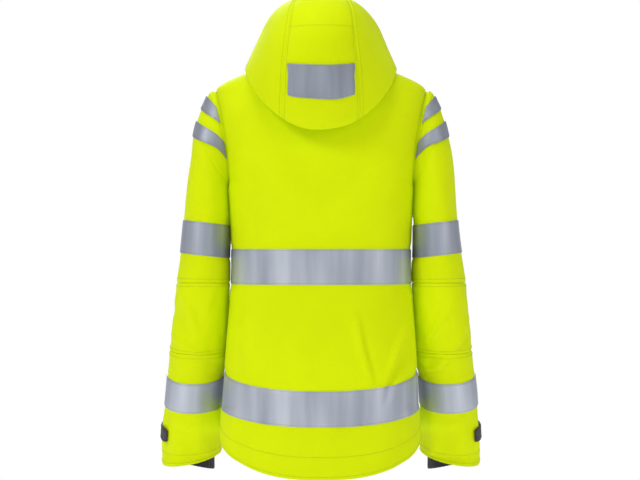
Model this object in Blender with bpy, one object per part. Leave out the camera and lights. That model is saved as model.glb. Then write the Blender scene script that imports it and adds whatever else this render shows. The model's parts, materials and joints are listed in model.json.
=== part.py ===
"""High-visibility hooded shell jacket, as separate cut pieces with working joints.

Frame: metres, +Z up, the wearer faces -Y, the wearer's left is +X. The origin is the
hanger loop at the centre back of the neck. Every piece is a thin wall of cloth or a
small moulded part, set off from its neighbours by a fine gap.
"""
import math

import bmesh
import bpy
import numpy as np

# ---- driving sizes, metres ----
CLOTH = 0.003            # shell fabric with its facing
SEAM_GAP = 0.0009        # gap between neighbouring cut pieces
TAPE_WIDTH = 0.066       # body reflective tape
SLEEVE_TAPE_WIDTH = 0.062
TAPE_THICK = 0.0010
LINING_IN = -0.0062      # outer face of the lining, in from the shell's outer face
LINING_THICK = 0.0010
TAPE_GAP = 0.0012        # air between a tape and the panel it is sewn to
SHOULDER_TIP_Z = -0.065
UNDERARM_Z = -0.251
WAIST_TAPE_TOP = -0.363
HEM_TAPE_TOP_SIDE = -0.593
HEM_TAPE_DROP = 0.033    # how much lower the hem tape is at the centre back
HEM_SIDE_Z = -0.715
HEM_BACK_Z = -0.790
HEM_FRONT_Z = -0.700
NECK_BACK_Z = 0.000
NECK_SIDE_Z = -0.018
NECK_FRONT_Z = -0.050
FRONT_NECK_Y = -0.098    # centre front at the neck, and the straight zip line below it
FRONT_HEM_Y = -0.145
ARMHOLE_SWEEP = math.radians(24)
ZIP_HALF = 0.0125        # half width of the zip between the front edges
COLLAR_HEIGHT = 0.070
ZIP_TOP_Z = 0.014
ZIP_BOTTOM_Z = -0.688
ELBOW_TOP_Z = -0.427
ELBOW_Z = -0.491
ELBOW_BOTTOM_Z = -0.555
CUFF_OUT_Z = -0.777
CUFF_IN_Z = -0.753
INNER_CUFF_TOP_Z = -0.728
INNER_CUFF_Z = -0.780
INNER_CUFF_TILT = 0.010  # the knitted cuff shows only on the side towards the body
TAB_TOP_Z = -0.700
TAB_WIDTH = 0.027
POCKET_TOP = (0.088, -0.447)   # x, z of the upper end of a hand pocket zip
POCKET_END = (0.118, -0.572)
LOOP_Y = 0.0475          # hanger loop behind the middle of the neck, where the origin is
TO_LOOP = np.array([0.0, -LOOP_Y, 0.0])

# side level z: half width, back depth, squareness of the section
TORSO = [
    (NECK_SIDE_Z, 0.072, 0.058, 2.0),
    (-0.030, 0.138, 0.078, 2.1),
    (SHOULDER_TIP_Z, 0.199, 0.100, 2.5),
    (-0.110, 0.192, 0.117, 2.9),
    (-0.158, 0.185, 0.124, 3.0),
    (UNDERARM_Z, 0.174, 0.128, 2.8),
    (-0.363, 0.169, 0.122, 2.5),
    (-0.429, 0.170, 0.121, 2.5),
    (-0.550, 0.178, 0.134, 2.5),
    (-0.659, 0.185, 0.145, 2.5),
    (HEM_SIDE_Z, 0.188, 0.149, 2.5),
]
# axis z at the sleeve centre: centre x, centre y, half width, half depth
SLEEVE = [
    (-0.262, 0.2150, 0.004, 0.0400, 0.075),
    (-0.310, 0.2172, 0.001, 0.0429, 0.074),
    (-0.372, 0.2208, -0.005, 0.0456, 0.072),
    (ELBOW_TOP_Z, 0.2248, -0.011, 0.0497, 0.069),
    (ELBOW_Z, 0.2302, -0.020, 0.0518, 0.067),
    (ELBOW_BOTTOM_Z, 0.2362, -0.036, 0.0525, 0.064),
    (-0.609, 0.2410, -0.053, 0.0538, 0.061),
    (-0.671, 0.2463, -0.074, 0.0547, 0.058),
    (-0.715, 0.2495, -0.090, 0.0560, 0.055),
    (-0.764, 0.2517, -0.109, 0.0565, 0.053),
]
# hood rows from the neck seam over the bottom fold and the crest to the brim:
# centre y, centre z, half width, side y, side z
HOOD = [
    (0.066, 0.006, 0.0790, -0.020, -0.004),
    (0.107, -0.038, 0.1020, -0.002, -0.002),
    (0.140, -0.115, 0.1260, 0.022, -0.010),
    (0.153, -0.1415, 0.1395, 0.040, -0.029),
    (0.174, -0.128, 0.1420, 0.036, -0.022),
    (0.200, -0.052, 0.1365, 0.006, -0.006),
    (0.210, 0.000, 0.1285, -0.026, 0.015),
    (0.207, 0.042, 0.1200, -0.048, 0.036),
    (0.186, 0.082, 0.1100, -0.060, 0.058),
    (0.150, 0.104, 0.0960, -0.066, 0.077),
    (0.105, 0.110, 0.0780, -0.066, 0.092),
    (0.045, 0.108, 0.0620, -0.062, 0.098),
    (-0.015, 0.096, 0.0540, -0.052, 0.092),
]

MATERIALS = {
    "shell_yellow": ((0.70, 0.82, 0.01, 1), 0.6, 0.0),
    "reflective_tape": ((0.42, 0.44, 0.48, 1), 0.45, 0.2),
    "lining_mesh": ((0.03, 0.03, 0.035, 1), 0.9, 0.0),
    "black_trim": ((0.012, 0.012, 0.014, 1), 0.8, 0.0),
    "zip_black": ((0.015, 0.015, 0.016, 1), 0.5, 0.0),
    "slider_metal": ((0.10, 0.10, 0.11, 1), 0.4, 0.9),
}


def clear_scene():
    for obj in list(bpy.data.objects):
        bpy.data.objects.remove(obj, do_unlink=True)


def material(name):
    found = bpy.data.materials.get(name)
    if found:
        return found
    color, rough, metal = MATERIALS[name]
    made = bpy.data.materials.new(name)
    made.use_nodes = True
    shader = made.node_tree.nodes["Principled BSDF"]
    shader.inputs["Base Color"].default_value = color
    shader.inputs["Roughness"].default_value = rough
    shader.inputs["Metallic"].default_value = metal
    return made


def table(rows, key, column):
    """Smooth (monotone cubic) reading of one column of a table whose first column falls."""
    xs = np.array([-r[0] for r in rows])
    ys = np.array([r[column] for r in rows])
    return hermite(xs, ys, -key)


def hermite(xs, ys, x):
    """Monotone cubic interpolation, held flat outside the table."""
    if x <= xs[0]:
        return float(ys[0])
    if x >= xs[-1]:
        return float(ys[-1])
    i = int(np.searchsorted(xs, x) - 1)
    h = np.diff(xs)
    d = np.diff(ys) / h
    m = np.zeros(len(xs))
    m[0], m[-1] = d[0], d[-1]
    for k in range(1, len(xs) - 1):
        if d[k - 1] * d[k] > 0:
            w1, w2 = 2 * h[k] + h[k - 1], h[k] + 2 * h[k - 1]
            m[k] = (w1 + w2) / (w1 / d[k - 1] + w2 / d[k])
    t = (x - xs[i]) / h[i]
    return float(
        (2 * t**3 - 3 * t**2 + 1) * ys[i] + (t**3 - 2 * t**2 + t) * h[i] * m[i]
        + (-2 * t**3 + 3 * t**2) * ys[i + 1] + (t**3 - t**2) * h[i] * m[i + 1]
    )


def power(value, exponent):
    return math.copysign(abs(value) ** exponent, value)


# ---- torso surface ----
# key curves down the body, each as z at the side, the centre back and the centre front
KEYS = [
    (NECK_SIDE_Z, NECK_BACK_Z, NECK_FRONT_Z),
    (-0.030, -0.018, -0.064),
    (SHOULDER_TIP_Z, -0.062, -0.092),
    (UNDERARM_Z, UNDERARM_Z, UNDERARM_Z),
    (WAIST_TAPE_TOP, WAIST_TAPE_TOP, WAIST_TAPE_TOP),
    (WAIST_TAPE_TOP - TAPE_WIDTH,) * 3,
    (HEM_TAPE_TOP_SIDE, HEM_TAPE_TOP_SIDE - HEM_TAPE_DROP, HEM_TAPE_TOP_SIDE),
    (HEM_TAPE_TOP_SIDE - TAPE_WIDTH, HEM_TAPE_TOP_SIDE - TAPE_WIDTH - HEM_TAPE_DROP,
     HEM_TAPE_TOP_SIDE - TAPE_WIDTH),
    (HEM_SIDE_Z, HEM_BACK_Z, HEM_FRONT_Z),
]


def front_line_y(z):
    slope = (FRONT_NECK_Y - FRONT_HEM_Y) / (NECK_FRONT_Z - HEM_FRONT_Z)
    return FRONT_NECK_Y + (z - NECK_FRONT_Z) * slope


def torso(phi, v):
    """Outer surface: phi 0 is the centre back, pi/2 the wearer's left side, pi the front."""
    i = min(int(v), len(KEYS) - 2)
    t = v - i
    side, back, front = (KEYS[i][k] + (KEYS[i + 1][k] - KEYS[i][k]) * t for k in range(3))
    c = abs(math.cos(phi))
    weight = 1 - (1 - c) ** 0.9 if c < 1 else 1.0
    far = back if math.cos(phi) >= 0 else front
    z = side + (far - side) * weight
    half = table(TORSO, side, 1)
    n = table(TORSO, side, 3)
    depth = table(TORSO, side, 2) if math.cos(phi) >= 0 else -front_line_y(front)
    return np.array([half * power(math.sin(phi), 2 / n), depth * power(math.cos(phi), 2 / n), z])


def armhole_sweep(v):
    """How far the armhole eats into the side, as an angle, at level v."""
    if not 2 < v < 3:
        return 0.0
    return ARMHOLE_SWEEP * math.sqrt(max(0.0, 1 - (2 * (v - 2) - 1) ** 2))


def armhole(psi):
    """Armhole edge: psi 0 is the shoulder tip, pi/2 the back, pi the underarm."""
    v = 2.5 - 0.5 * math.cos(psi)
    return torso(math.pi / 2 - ARMHOLE_SWEEP * math.sin(psi), v)


# ---- sleeve surface, wearer's left ----
def sleeve_level(psi, z_out, z_in):
    """Level on the axis of a slanted ring whose outer side is at z_out."""
    return (z_out + z_in) / 2 + (z_out - z_in) / 2 * math.cos(psi)


def sleeve(psi, level):
    """psi 0 faces out from the body, pi/2 faces back."""
    x, y, a, b = (table(SLEEVE, level, k) for k in (1, 2, 3, 4))
    n = 2.15
    return np.array([x + a * power(math.cos(psi), 2 / n), y + b * power(math.sin(psi), 2 / n), level])


CAP_Z_OUT, CAP_Z_IN = -0.268, -0.284


def cap(psi, t):
    """Sleeve head: t 0 at the armhole, t 1 at the top ring of the upper sleeve."""
    top = armhole(psi)
    # psi 0 of the armhole is its top, which runs to the outer side of the sleeve ring
    low = sleeve(psi, sleeve_level(psi, CAP_Z_OUT, CAP_Z_IN))
    d = 1e-3
    below = sleeve(psi, sleeve_level(psi, CAP_Z_OUT, CAP_Z_IN) - d)
    up = (low - below) / d
    reach = np.linalg.norm(top - low)
    rise = max(0.0, math.cos(psi))
    spread = np.array([0.55 - 0.15 * rise, 0.20 * math.sin(psi), -0.12 - 0.13 * rise
                       + 0.10 * min(0.0, math.cos(psi))])
    p1 = top + spread * reach * (0.30 + 0.22 * max(0.0, math.cos(psi)))
    p2 = low + up * reach * 0.42
    return (1 - t) ** 3 * top + 3 * (1 - t) ** 2 * t * p1 + 3 * (1 - t) * t * t * p2 + t**3 * low


# ---- hood surface ----
def hood(v, row):
    """row counts along HOOD, v runs from the wearer's right edge -1 to the left edge 1."""
    yc, zc, w, ys, zs = (catmull([r[k] for r in HOOD], row) for k in range(5))
    ang = v * math.pi / 2
    c = max(0.0, math.cos(ang))
    return np.array([w * power(math.sin(ang), 2 / 2.15), ys + (yc - ys) * c ** 0.85,
                     zs + (zc - zs) * c ** 1.5])


def catmull(values, x):
    """Catmull-Rom curve through evenly counted values."""
    n = len(values)
    i = min(max(int(x), 0), n - 2)
    t = x - i
    p0, p1, p2, p3 = (values[min(max(k, 0), n - 1)] for k in (i - 1, i, i + 1, i + 2))
    if i == 0:
        p0 = 2 * p1 - p2
    if i == n - 2:
        p3 = 2 * p2 - p1
    return 0.5 * (2 * p1 + (p2 - p0) * t + (2 * p0 - 5 * p1 + 4 * p2 - p3) * t * t
                  + (3 * p1 - p0 - 3 * p2 + p3) * t**3)


# ---- mesh makers ----
def add_object(name, points, faces, mat, origin=(0, 0, 0), side=1):
    """A closed mesh object whose origin is at the given point. side -1 mirrors it in X."""
    shift = np.array(origin, float) + TO_LOOP
    points = np.array(points, float) + TO_LOOP
    if side < 0:
        points = points * [-1, 1, 1]
        shift = shift * [-1, 1, 1]
    mesh = bpy.data.meshes.new(name)
    mesh.from_pydata([tuple(p - shift) for p in points], [], faces)
    bm = bmesh.new()
    bm.from_mesh(mesh)
    bmesh.ops.recalc_face_normals(bm, faces=bm.faces)
    bm.to_mesh(mesh)
    bm.free()
    mesh.materials.append(material(mat))
    obj = bpy.data.objects.new(name, mesh)
    obj.location = tuple(shift)
    bpy.context.scene.collection.objects.link(obj)
    return obj


def normal(surface, u, v, du=1e-4, dv=1e-4):
    a = surface(u + du, v) - surface(u - du, v)
    b = surface(u, v + dv) - surface(u, v - dv)
    n = np.cross(a, b)
    size = np.linalg.norm(n)
    return n / size if size > 1e-14 else np.array([0.0, 0.0, 1.0])


def slab(name, surface, us, vs, low, high, mat, sign=1, ring=False, origin=(0, 0, 0), side=1):
    """A wall between two offsets of a surface. us(v) or a list gives the lines across."""
    grid = [[(u, v) for u in (us(v) if callable(us) else us)] for v in vs]
    across, down = len(grid[0]), len(grid)
    points = []
    for offset in (low, high):
        for row in grid:
            for u, v in row:
                points.append(surface(u, v) + sign * normal(surface, u, v) * offset)
    base = across * down
    faces = []
    span = across if ring else across - 1
    for j in range(down - 1):
        for i in range(span):
            a, b = j * across + i, j * across + (i + 1) % across
            c, d = b + across, a + across
            faces += [(a, b, c, d), (base + d, base + c, base + b, base + a)]
    for j in (0, down - 1):
        for i in range(span):
            a, b = j * across + i, j * across + (i + 1) % across
            faces.append((a, b, base + b, base + a))
    if not ring:
        for i in (0, across - 1):
            for j in range(down - 1):
                a, b = j * across + i, (j + 1) * across + i
                faces.append((a, b, base + b, base + a))
    return add_object(name, points, faces, mat, origin, side)


def spaced(a, b, count):
    return list(np.linspace(a, b, count))


def prism(name, outline, low, high, mat, place=None, origin=(0, 0, 0), side=1):
    """An outline in a plane pushed from low to high. place maps (a, b, depth) to a point."""
    place = place or (lambda a, b, d: np.array([a, d, b]))
    n = len(outline)
    points = [place(a, b, low) for a, b in outline] + [place(a, b, high) for a, b in outline]
    faces = [tuple(range(n)), tuple(range(2 * n - 1, n - 1, -1))]
    faces += [(i, (i + 1) % n, n + (i + 1) % n, n + i) for i in range(n)]
    return add_object(name, points, faces, mat, origin, side)


def tube(name, path, radius, mat, sides=8, side=1):
    """A round cord with flat ends along a list of points."""
    path = [np.array(p, float) for p in path]
    points, faces = [], []
    ref = np.array([0.37, 0.81, 0.45])
    for k, p in enumerate(path):
        t = path[min(k + 1, len(path) - 1)] - path[max(k - 1, 0)]
        t /= np.linalg.norm(t)
        a = ref - t * ref.dot(t)
        a /= np.linalg.norm(a)
        b = np.cross(t, a)
        ref = a
        points += [p + radius * (math.cos(q) * a + math.sin(q) * b)
                   for q in (2 * math.pi * i / sides for i in range(sides))]
    for k in range(len(path) - 1):
        for i in range(sides):
            j = (i + 1) % sides
            faces.append((k * sides + i, k * sides + j, (k + 1) * sides + j, (k + 1) * sides + i))
    last = (len(path) - 1) * sides
    faces += [tuple(range(sides)), tuple(last + i for i in range(sides))]
    return add_object(name, points, faces, mat, (0, 0, 0), side)


# ---- levels shared by the panels and the tapes sewn on them ----
ARM_STEPS = 10
ARM_LEVELS = [2.5 - 0.5 * math.cos(math.pi * k / ARM_STEPS) for k in range(ARM_STEPS + 1)]
WAIST_LEVELS = spaced(4, 5, 3)
HEM_LEVELS = spaced(6, 7, 3)
TORSO_LEVELS = ([0.02, 0.5, 1.0, 1.5] + ARM_LEVELS + spaced(3, 4, 4)[1:-1] + WAIST_LEVELS
                + spaced(5, 6, 5)[1:-1] + HEM_LEVELS + spaced(7, 8, 4)[1:])
BACK_LINES, FRONT_LINES, SLEEVE_LINES = 17, 9, 20


def seam_angle(v):
    side = KEYS[min(int(v), 7)][0] + (KEYS[min(int(v), 7) + 1][0] - KEYS[min(int(v), 7)][0]) * (
        v - min(int(v), 7))
    return SEAM_GAP / table(TORSO, side, 1)


def front_edge(v, x=ZIP_HALF):
    i = min(int(v), 7)
    side = KEYS[i][0] + (KEYS[i + 1][0] - KEYS[i][0]) * (v - i)
    half, n = table(TORSO, side, 1), table(TORSO, side, 3)
    return math.pi - math.asin((x / half) ** (n / 2))


def back_lines(v):
    edge = math.pi / 2 - armhole_sweep(v) - seam_angle(v)
    return spaced(-edge, edge, BACK_LINES)


def front_lines(v):
    return spaced(math.pi / 2 + armhole_sweep(v) + seam_angle(v), front_edge(v), FRONT_LINES)


def lining_front_lines(v):
    lines = front_lines(v)
    return spaced(lines[0] + 0.045, lines[-1] - 0.03, FRONT_LINES)


def build_torso():
    slab("back_panel", torso, back_lines, TORSO_LEVELS, -CLOTH, 0, "shell_yellow")
    lining_levels = TORSO_LEVELS[5:-2]
    slab("lining_back", torso, lambda v: [p * 0.965 for p in back_lines(v)], lining_levels,
         LINING_IN - LINING_THICK, LINING_IN, "lining_mesh")
    tapes = (("waist_tape", WAIST_LEVELS), ("hem_tape", HEM_LEVELS))
    for name, levels in tapes:
        slab(name + "_back", torso, back_lines, levels, TAPE_GAP, TAPE_GAP + TAPE_THICK,
             "reflective_tape")
    for word, side in (("left", 1), ("right", -1)):
        slab(word + "_front_panel", torso, front_lines, TORSO_LEVELS, -CLOTH, 0,
             "shell_yellow", side=side)
        slab("lining_" + word + "_front", torso, lining_front_lines, lining_levels,
             LINING_IN - LINING_THICK, LINING_IN, "lining_mesh", side=side)
        for name, levels in tapes:
            slab(name + "_" + word + "_front", torso, front_lines, levels, TAPE_GAP,
                 TAPE_GAP + TAPE_THICK, "reflective_tape", side=side)
        slab("collar_" + word, collar, spaced(math.radians(84), front_edge(0), 9),
             spaced(0, 1, 4), -0.0035, -0.0005, "shell_yellow", sign=-1, side=side)
        zip_tape(word, side)
    prism("zip_box", [(-0.0065, -0.0022), (0.0065, -0.0022), (0.0065, 0.0022), (-0.0065, 0.0022)],
          ZIP_BOTTOM_Z - 0.0105, ZIP_BOTTOM_Z - 0.0006, "slider_metal",
          place=lambda a, b, z: np.array([a, front_line_y(z) + 0.0016 + b, z]))
    loop = [(0.034 * math.cos(a), LOOP_Y, -0.016 + 0.016 * math.sin(a))
            for a in (math.pi * k / 14 for k in range(15))]
    tube("hanger_loop", loop, 0.0019, "black_trim")


def collar(phi, t):
    base = torso(phi, 0)
    rise = (phi - math.radians(62)) / math.radians(118)
    height = COLLAR_HEIGHT * min(1.0, max(0.0, rise)) ** 0.8
    lift = 0.0018 + height * t
    lean = (FRONT_NECK_Y - FRONT_HEM_Y) / (NECK_FRONT_Z - HEM_FRONT_Z)
    return base + np.array([0, -lean * lift * math.cos(phi), lift])


def zip_tape(word, side):
    """Half of the front zip: a woven tape with the coil along its inner edge."""
    edge = ZIP_HALF - 0.0008
    outline = [(0.0008, -0.0012), (0.0034, -0.0012), (0.0034, -0.0004), (edge, -0.0004),
               (edge, 0.0004), (0.0034, 0.0004), (0.0034, 0.0012), (0.0008, 0.0012)]
    prism("zip_tape_" + word, outline, ZIP_BOTTOM_Z, ZIP_TOP_Z, "zip_black",
          place=lambda a, b, z: np.array([a, front_line_y(z) + 0.0016 + b, z]), side=side)


# ---- zip sliders ----
SLIDER_LENGTH = 0.0150
SLIDER_TOP = 0.011       # upper end of the front slider when the zip is closed
PULL_LENGTH = 0.034
SLIDER_FACE = 0.0032     # how far the slider's face stands out from the middle of the tape
PIN_OUT = 0.0058         # the puller's pin, out from the tape and down from the slider's top
PIN_DOWN = 0.0036
PIN_RADIUS = 0.0007
EYE_RADIUS = 0.0020


def along_frame(base, down, out):
    """Maps (across, out, down) in a local frame to a point."""
    across = np.cross(down, out)

    def place(a, b, d):
        return base + across * a + out * b + down * d

    return place


def slider_pieces(name, base, down, out, deep, side=1):
    """A slider body with a stud and cross pin, and a puller whose forked eye turns on the pin."""
    place = along_frame(base, down, out)
    if deep:
        outline = [(-0.0060, 0.0017), (-0.0004, 0.0017), (-0.0004, -0.0017), (-0.0060, -0.0017),
                   (-0.0060, -0.0031), (0.0060, -0.0031), (0.0060, -0.0017), (0.0004, -0.0017),
                   (0.0004, 0.0017), (0.0060, 0.0017), (0.0060, SLIDER_FACE),
                   (-0.0060, SLIDER_FACE)]
    else:
        outline = [(-0.0050, 0.0004), (-0.0036, 0.0004), (-0.0036, 0.0018), (0.0036, 0.0018),
                   (0.0036, 0.0004), (0.0050, 0.0004), (0.0050, SLIDER_FACE),
                   (-0.0050, SLIDER_FACE)]
    body = prism(name + "_slider", outline, 0, SLIDER_LENGTH, "slider_metal",
                 place=lambda a, b, d: place(a, b, d), origin=base, side=side)
    stud = prism(name + "_stud", [(-0.0011, SLIDER_FACE - 0.0006), (0.0011, SLIDER_FACE - 0.0006),
                                  (0.0011, PIN_OUT + 0.0015), (-0.0011, PIN_OUT + 0.0015)],
                 PIN_DOWN - 0.0013, PIN_DOWN + 0.0013, "slider_metal",
                 place=lambda a, b, d: place(a, b, d), origin=base, side=side)
    hinge = place(0, PIN_OUT, PIN_DOWN)
    turn = along_frame(hinge, down, out)
    pin = prism(name + "_pin", circle(PIN_RADIUS), -0.0042, 0.0042, "slider_metal",
                place=lambda d, b, a: turn(a, b, d), origin=hinge, side=side)
    combine(body, stud, "UNION")
    combine(body, pin, "UNION")
    eye = [(x, y) for x, y in circle(EYE_RADIUS, 20)]
    head = [p for p in eye if not (p[0] > 0 and abs(p[1]) < 0.0008)]
    head.sort(key=lambda p: math.atan2(p[1], p[0]) % (2 * math.pi))
    strip = ([(PULL_LENGTH, -0.0007), (PULL_LENGTH, 0.0007)] + head)
    pull = prism(name + "_puller", strip, -0.0034, 0.0034, "slider_metal",
                 place=lambda d, b, a: turn(a, b, d), origin=hinge, side=side)
    slot = prism(name + "_slot_cut", [(-0.0015, -0.0030), (0.0015, -0.0030), (0.0015, 0.0036),
                                      (-0.0015, 0.0036)], -0.003, 0.003, "slider_metal",
                 place=lambda a, d, b: turn(a, b, d), origin=hinge, side=side)
    hole = prism(name + "_hole_cut", circle(PIN_RADIUS + 0.00035), -0.006, 0.006,
                 "slider_metal", place=lambda d, b, a: turn(a, b, d), origin=hinge, side=side)
    combine(pull, slot)
    combine(pull, hole)


def circle(radius, sides=16):
    return [(radius * math.cos(2 * math.pi * (k + 0.5) / sides),
             radius * math.sin(2 * math.pi * (k + 0.5) / sides)) for k in range(sides)]


def combine(target, helper, operation="DIFFERENCE"):
    helper.hide_render = True
    helper.display_type = "WIRE"
    modifier = target.modifiers.new(operation.lower() + "_" + helper.name, "BOOLEAN")
    modifier.operation = operation
    modifier.solver = "EXACT"
    modifier.object = helper


def unit(vector):
    vector = np.array(vector, float)
    return vector / np.linalg.norm(vector)


def front_zip_frame():
    low = np.array([0, front_line_y(-0.6), -0.6])
    high = np.array([0, front_line_y(0.0), 0.0])
    down = unit(low - high)
    out = unit(np.cross(down, [1, 0, 0]))
    if out[1] > 0:
        out = -out
    return down, out


def pocket_frame():
    """Straight pocket line laid clear of the front panel: base, down, out, length."""
    top = torso(math.pi - 0.478, 5.10)
    end = torso(math.pi - 0.646, 5.84)
    length = np.linalg.norm(end - top)
    down = (end - top) / length
    out = normal(torso, math.pi - 0.56, 5.47)
    out = unit(out - down * out.dot(down))
    across = np.cross(down, out)
    high = 0.0
    for phi in spaced(math.pi - 0.80, math.pi - 0.34, 24):
        for v in spaced(5.0, 5.97, 40):
            rel = torso(phi, v) - top
            if -0.012 < rel.dot(down) < length + 0.012 and abs(rel.dot(across)) < 0.0125:
                high = max(high, rel.dot(out))
    return top + out * (high + 0.0006), down, out, length


def build_zips():
    down, out = front_zip_frame()
    base = np.array([0, front_line_y(SLIDER_TOP) + 0.0016, SLIDER_TOP])
    slider_pieces("main", base, down, out, deep=True)
    base, down, out, length = pocket_frame()
    place = along_frame(base, down, out)
    outline = [(-0.0105, 0), (0.0105, 0), (0.0105, 0.0018), (0.0030, 0.0018), (0.0030, 0.0036),
               (-0.0030, 0.0036), (-0.0030, 0.0018), (-0.0105, 0.0018)]
    for word, side in (("left", 1), ("right", -1)):
        prism(word + "_pocket_zip", outline, -0.008, length + 0.008, "zip_black",
              place=lambda a, b, d: place(a, b, d), side=side)
        slider_pieces(word + "_pocket", base + out * 0.0022, down, out, deep=False, side=side)


# ---- sleeves ----
FOREARM_TILT = -0.017
CUFF_TILT_OUT, CUFF_TILT_BACK = (CUFF_OUT_Z - CUFF_IN_Z) / 2, -0.013


def ring_level(psi, mid, tilt_out=0.0, tilt_back=0.0):
    return mid + tilt_out * math.cos(psi) + tilt_back * math.sin(psi)


# sleeve rows: middle level, outward tilt, backward tilt
ROW_CAP = ((CAP_Z_OUT + CAP_Z_IN) / 2, (CAP_Z_OUT - CAP_Z_IN) / 2, 0.0)
ROW_UPPER_TAPE = ((-0.313, 0.005, 0.0), (-0.313 - SLEEVE_TAPE_WIDTH, 0.005, 0.0))
ROW_ELBOW_TOP = (ELBOW_TOP_Z, 0.0, 0.0)
ROW_ELBOW_LOW = (ELBOW_BOTTOM_Z, 0.0, -0.008)
ROW_FOREARM_TAPE = ((-0.603, 0.0, FOREARM_TILT), (-0.603 - SLEEVE_TAPE_WIDTH * 0.92, 0.0, FOREARM_TILT))
ROW_TAB = ((TAB_TOP_Z, 0.0, -0.014), (TAB_TOP_Z - TAB_WIDTH, 0.0, -0.014))
ROW_CUFF = ((CUFF_OUT_Z + CUFF_IN_Z) / 2, CUFF_TILT_OUT, CUFF_TILT_BACK)
SLEEVE_GAP = 0.0010


def between(first, last, count, skip_ends=False):
    rows = [tuple(np.array(first) + (np.array(last) - np.array(first)) * k / (count - 1))
            for k in range(count)]
    return rows[1:-1] if skip_ends else rows


def shifted(row, by):
    return (row[0] + by, row[1], row[2])


def sleeve_rows(rows):
    """A surface whose second coordinate counts through slanted rows of the sleeve."""
    def surface(psi, t):
        i = min(max(int(t), 0), len(rows) - 2)
        f = t - i
        row = [rows[i][k] + (rows[i + 1][k] - rows[i][k]) * f for k in range(3)]
        return sleeve(psi, ring_level(psi, *row))

    return surface


def sleeve_slab(name, rows, low, high, mat, psis, ring, side, origin=(0, 0, 0)):
    slab(name, sleeve_rows(rows), psis, list(range(len(rows))), low, high, mat, sign=-1,
         ring=ring, side=side, origin=origin)


SHOULDER_PIVOT = (0.195, 0.0, -0.185)
ELBOW_PIVOT = (0.2325, -0.020, ELBOW_Z)
# shoulder stripes: angle at the seam and reach down the cap, for the upper and lower edges
STRIPES = (((47, 0.10), (70.5, 0.24)), ((93, 0.37), (112, 0.51)))
TAB_HINGE_PSI = math.radians(-80)
TAB_END_PSI = math.radians(40)


def stripe_surface(edges):
    (psi0, t0), (psi1, t1) = edges

    def surface(s, w):
        psi = math.radians(psi0 + (psi1 - psi0) * w) * s
        return cap(psi, 0.045 + (t0 + (t1 - t0) * w - 0.045) * (1 - s * s))

    return surface


def tab_hinge():
    top = sleeve(TAB_HINGE_PSI, ring_level(TAB_HINGE_PSI, *ROW_TAB[0]))
    low = sleeve(TAB_HINGE_PSI, ring_level(TAB_HINGE_PSI, *ROW_TAB[1]))
    out = normal(sleeve, TAB_HINGE_PSI, ring_level(TAB_HINGE_PSI, *ROW_TAB[0]))
    return (top + low) / 2 + out * 0.0035, unit(low - top)


def inner_cuff(psi, level):
    x, y = table(SLEEVE, level, 1), table(SLEEVE, level, 2)
    if level < SLEEVE[-1][0]:
        y += (level - SLEEVE[-1][0]) * 0.38
    share = (INNER_CUFF_TOP_Z - level) / (INNER_CUFF_TOP_Z - INNER_CUFF_Z)
    return np.array([x + 0.0445 * math.cos(psi), y + 0.0430 * math.sin(psi),
                     level + INNER_CUFF_TILT * share * math.cos(psi)])


def build_sleeves():
    psis = [2 * math.pi * k / SLEEVE_LINES for k in range(SLEEVE_LINES)]
    upper = ([shifted(ROW_CAP, -SLEEVE_GAP), ROW_UPPER_TAPE[0]]
             + between(*ROW_UPPER_TAPE, 3, skip_ends=True)
             + [ROW_UPPER_TAPE[1], shifted(ROW_ELBOW_TOP, SLEEVE_GAP / 2)])
    elbow = between(shifted(ROW_ELBOW_TOP, -SLEEVE_GAP / 2), shifted(ROW_ELBOW_LOW, SLEEVE_GAP / 2), 7)
    lower = ([shifted(ROW_ELBOW_LOW, -SLEEVE_GAP / 2), ROW_FOREARM_TAPE[0]]
             + between(*ROW_FOREARM_TAPE, 3, skip_ends=True)
             + [ROW_FOREARM_TAPE[1], ROW_TAB[0], ROW_TAB[1], ROW_CUFF])
    for word, side in (("left", 1), ("right", -1)):
        slab(word + "_sleeve_cap", cap, psis, [0.03] + spaced(0.1, 0.994, 9), -CLOTH, 0,
             "shell_yellow", sign=-1, ring=True, side=side)
        for k, edges in enumerate(STRIPES):
            slab(f"{word}_shoulder_stripe_{k + 1}", stripe_surface(edges), spaced(-1, 1, 19),
                 spaced(0, 1, 5), 0.0017, 0.0027, "reflective_tape", sign=-1, side=side)
        pivot = SHOULDER_PIVOT
        sleeve_slab(word + "_upper_sleeve", upper, -CLOTH, 0, "shell_yellow", psis, True, side,
                    origin=pivot)
        sleeve_slab(word + "_upper_sleeve_tape", upper[1:4], TAPE_GAP, TAPE_GAP + TAPE_THICK,
                    "reflective_tape", psis, True, side, origin=pivot)
        sleeve_slab(word + "_elbow_panel", elbow, -CLOTH, 0, "shell_yellow", psis, True, side)
        sleeve_slab(word + "_lower_sleeve", lower, -CLOTH, 0, "shell_yellow", psis, True, side,
                    origin=ELBOW_PIVOT)
        sleeve_slab(word + "_forearm_tape", lower[1:4], TAPE_GAP, TAPE_GAP + TAPE_THICK,
                    "reflective_tape", psis, True, side, origin=ELBOW_PIVOT)
        slab(word + "_inner_cuff", inner_cuff, psis, spaced(INNER_CUFF_TOP_Z, INNER_CUFF_Z, 5), -0.0026, 0,
             "black_trim", sign=-1, ring=True, side=side, origin=ELBOW_PIVOT)
        hinge, _ = tab_hinge()
        sleeve_slab(word + "_cuff_tab", between(*ROW_TAB, 3), 0.0020, 0.0045, "black_trim",
                    spaced(TAB_HINGE_PSI, TAB_END_PSI, 12), False, side, origin=hinge)


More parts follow.
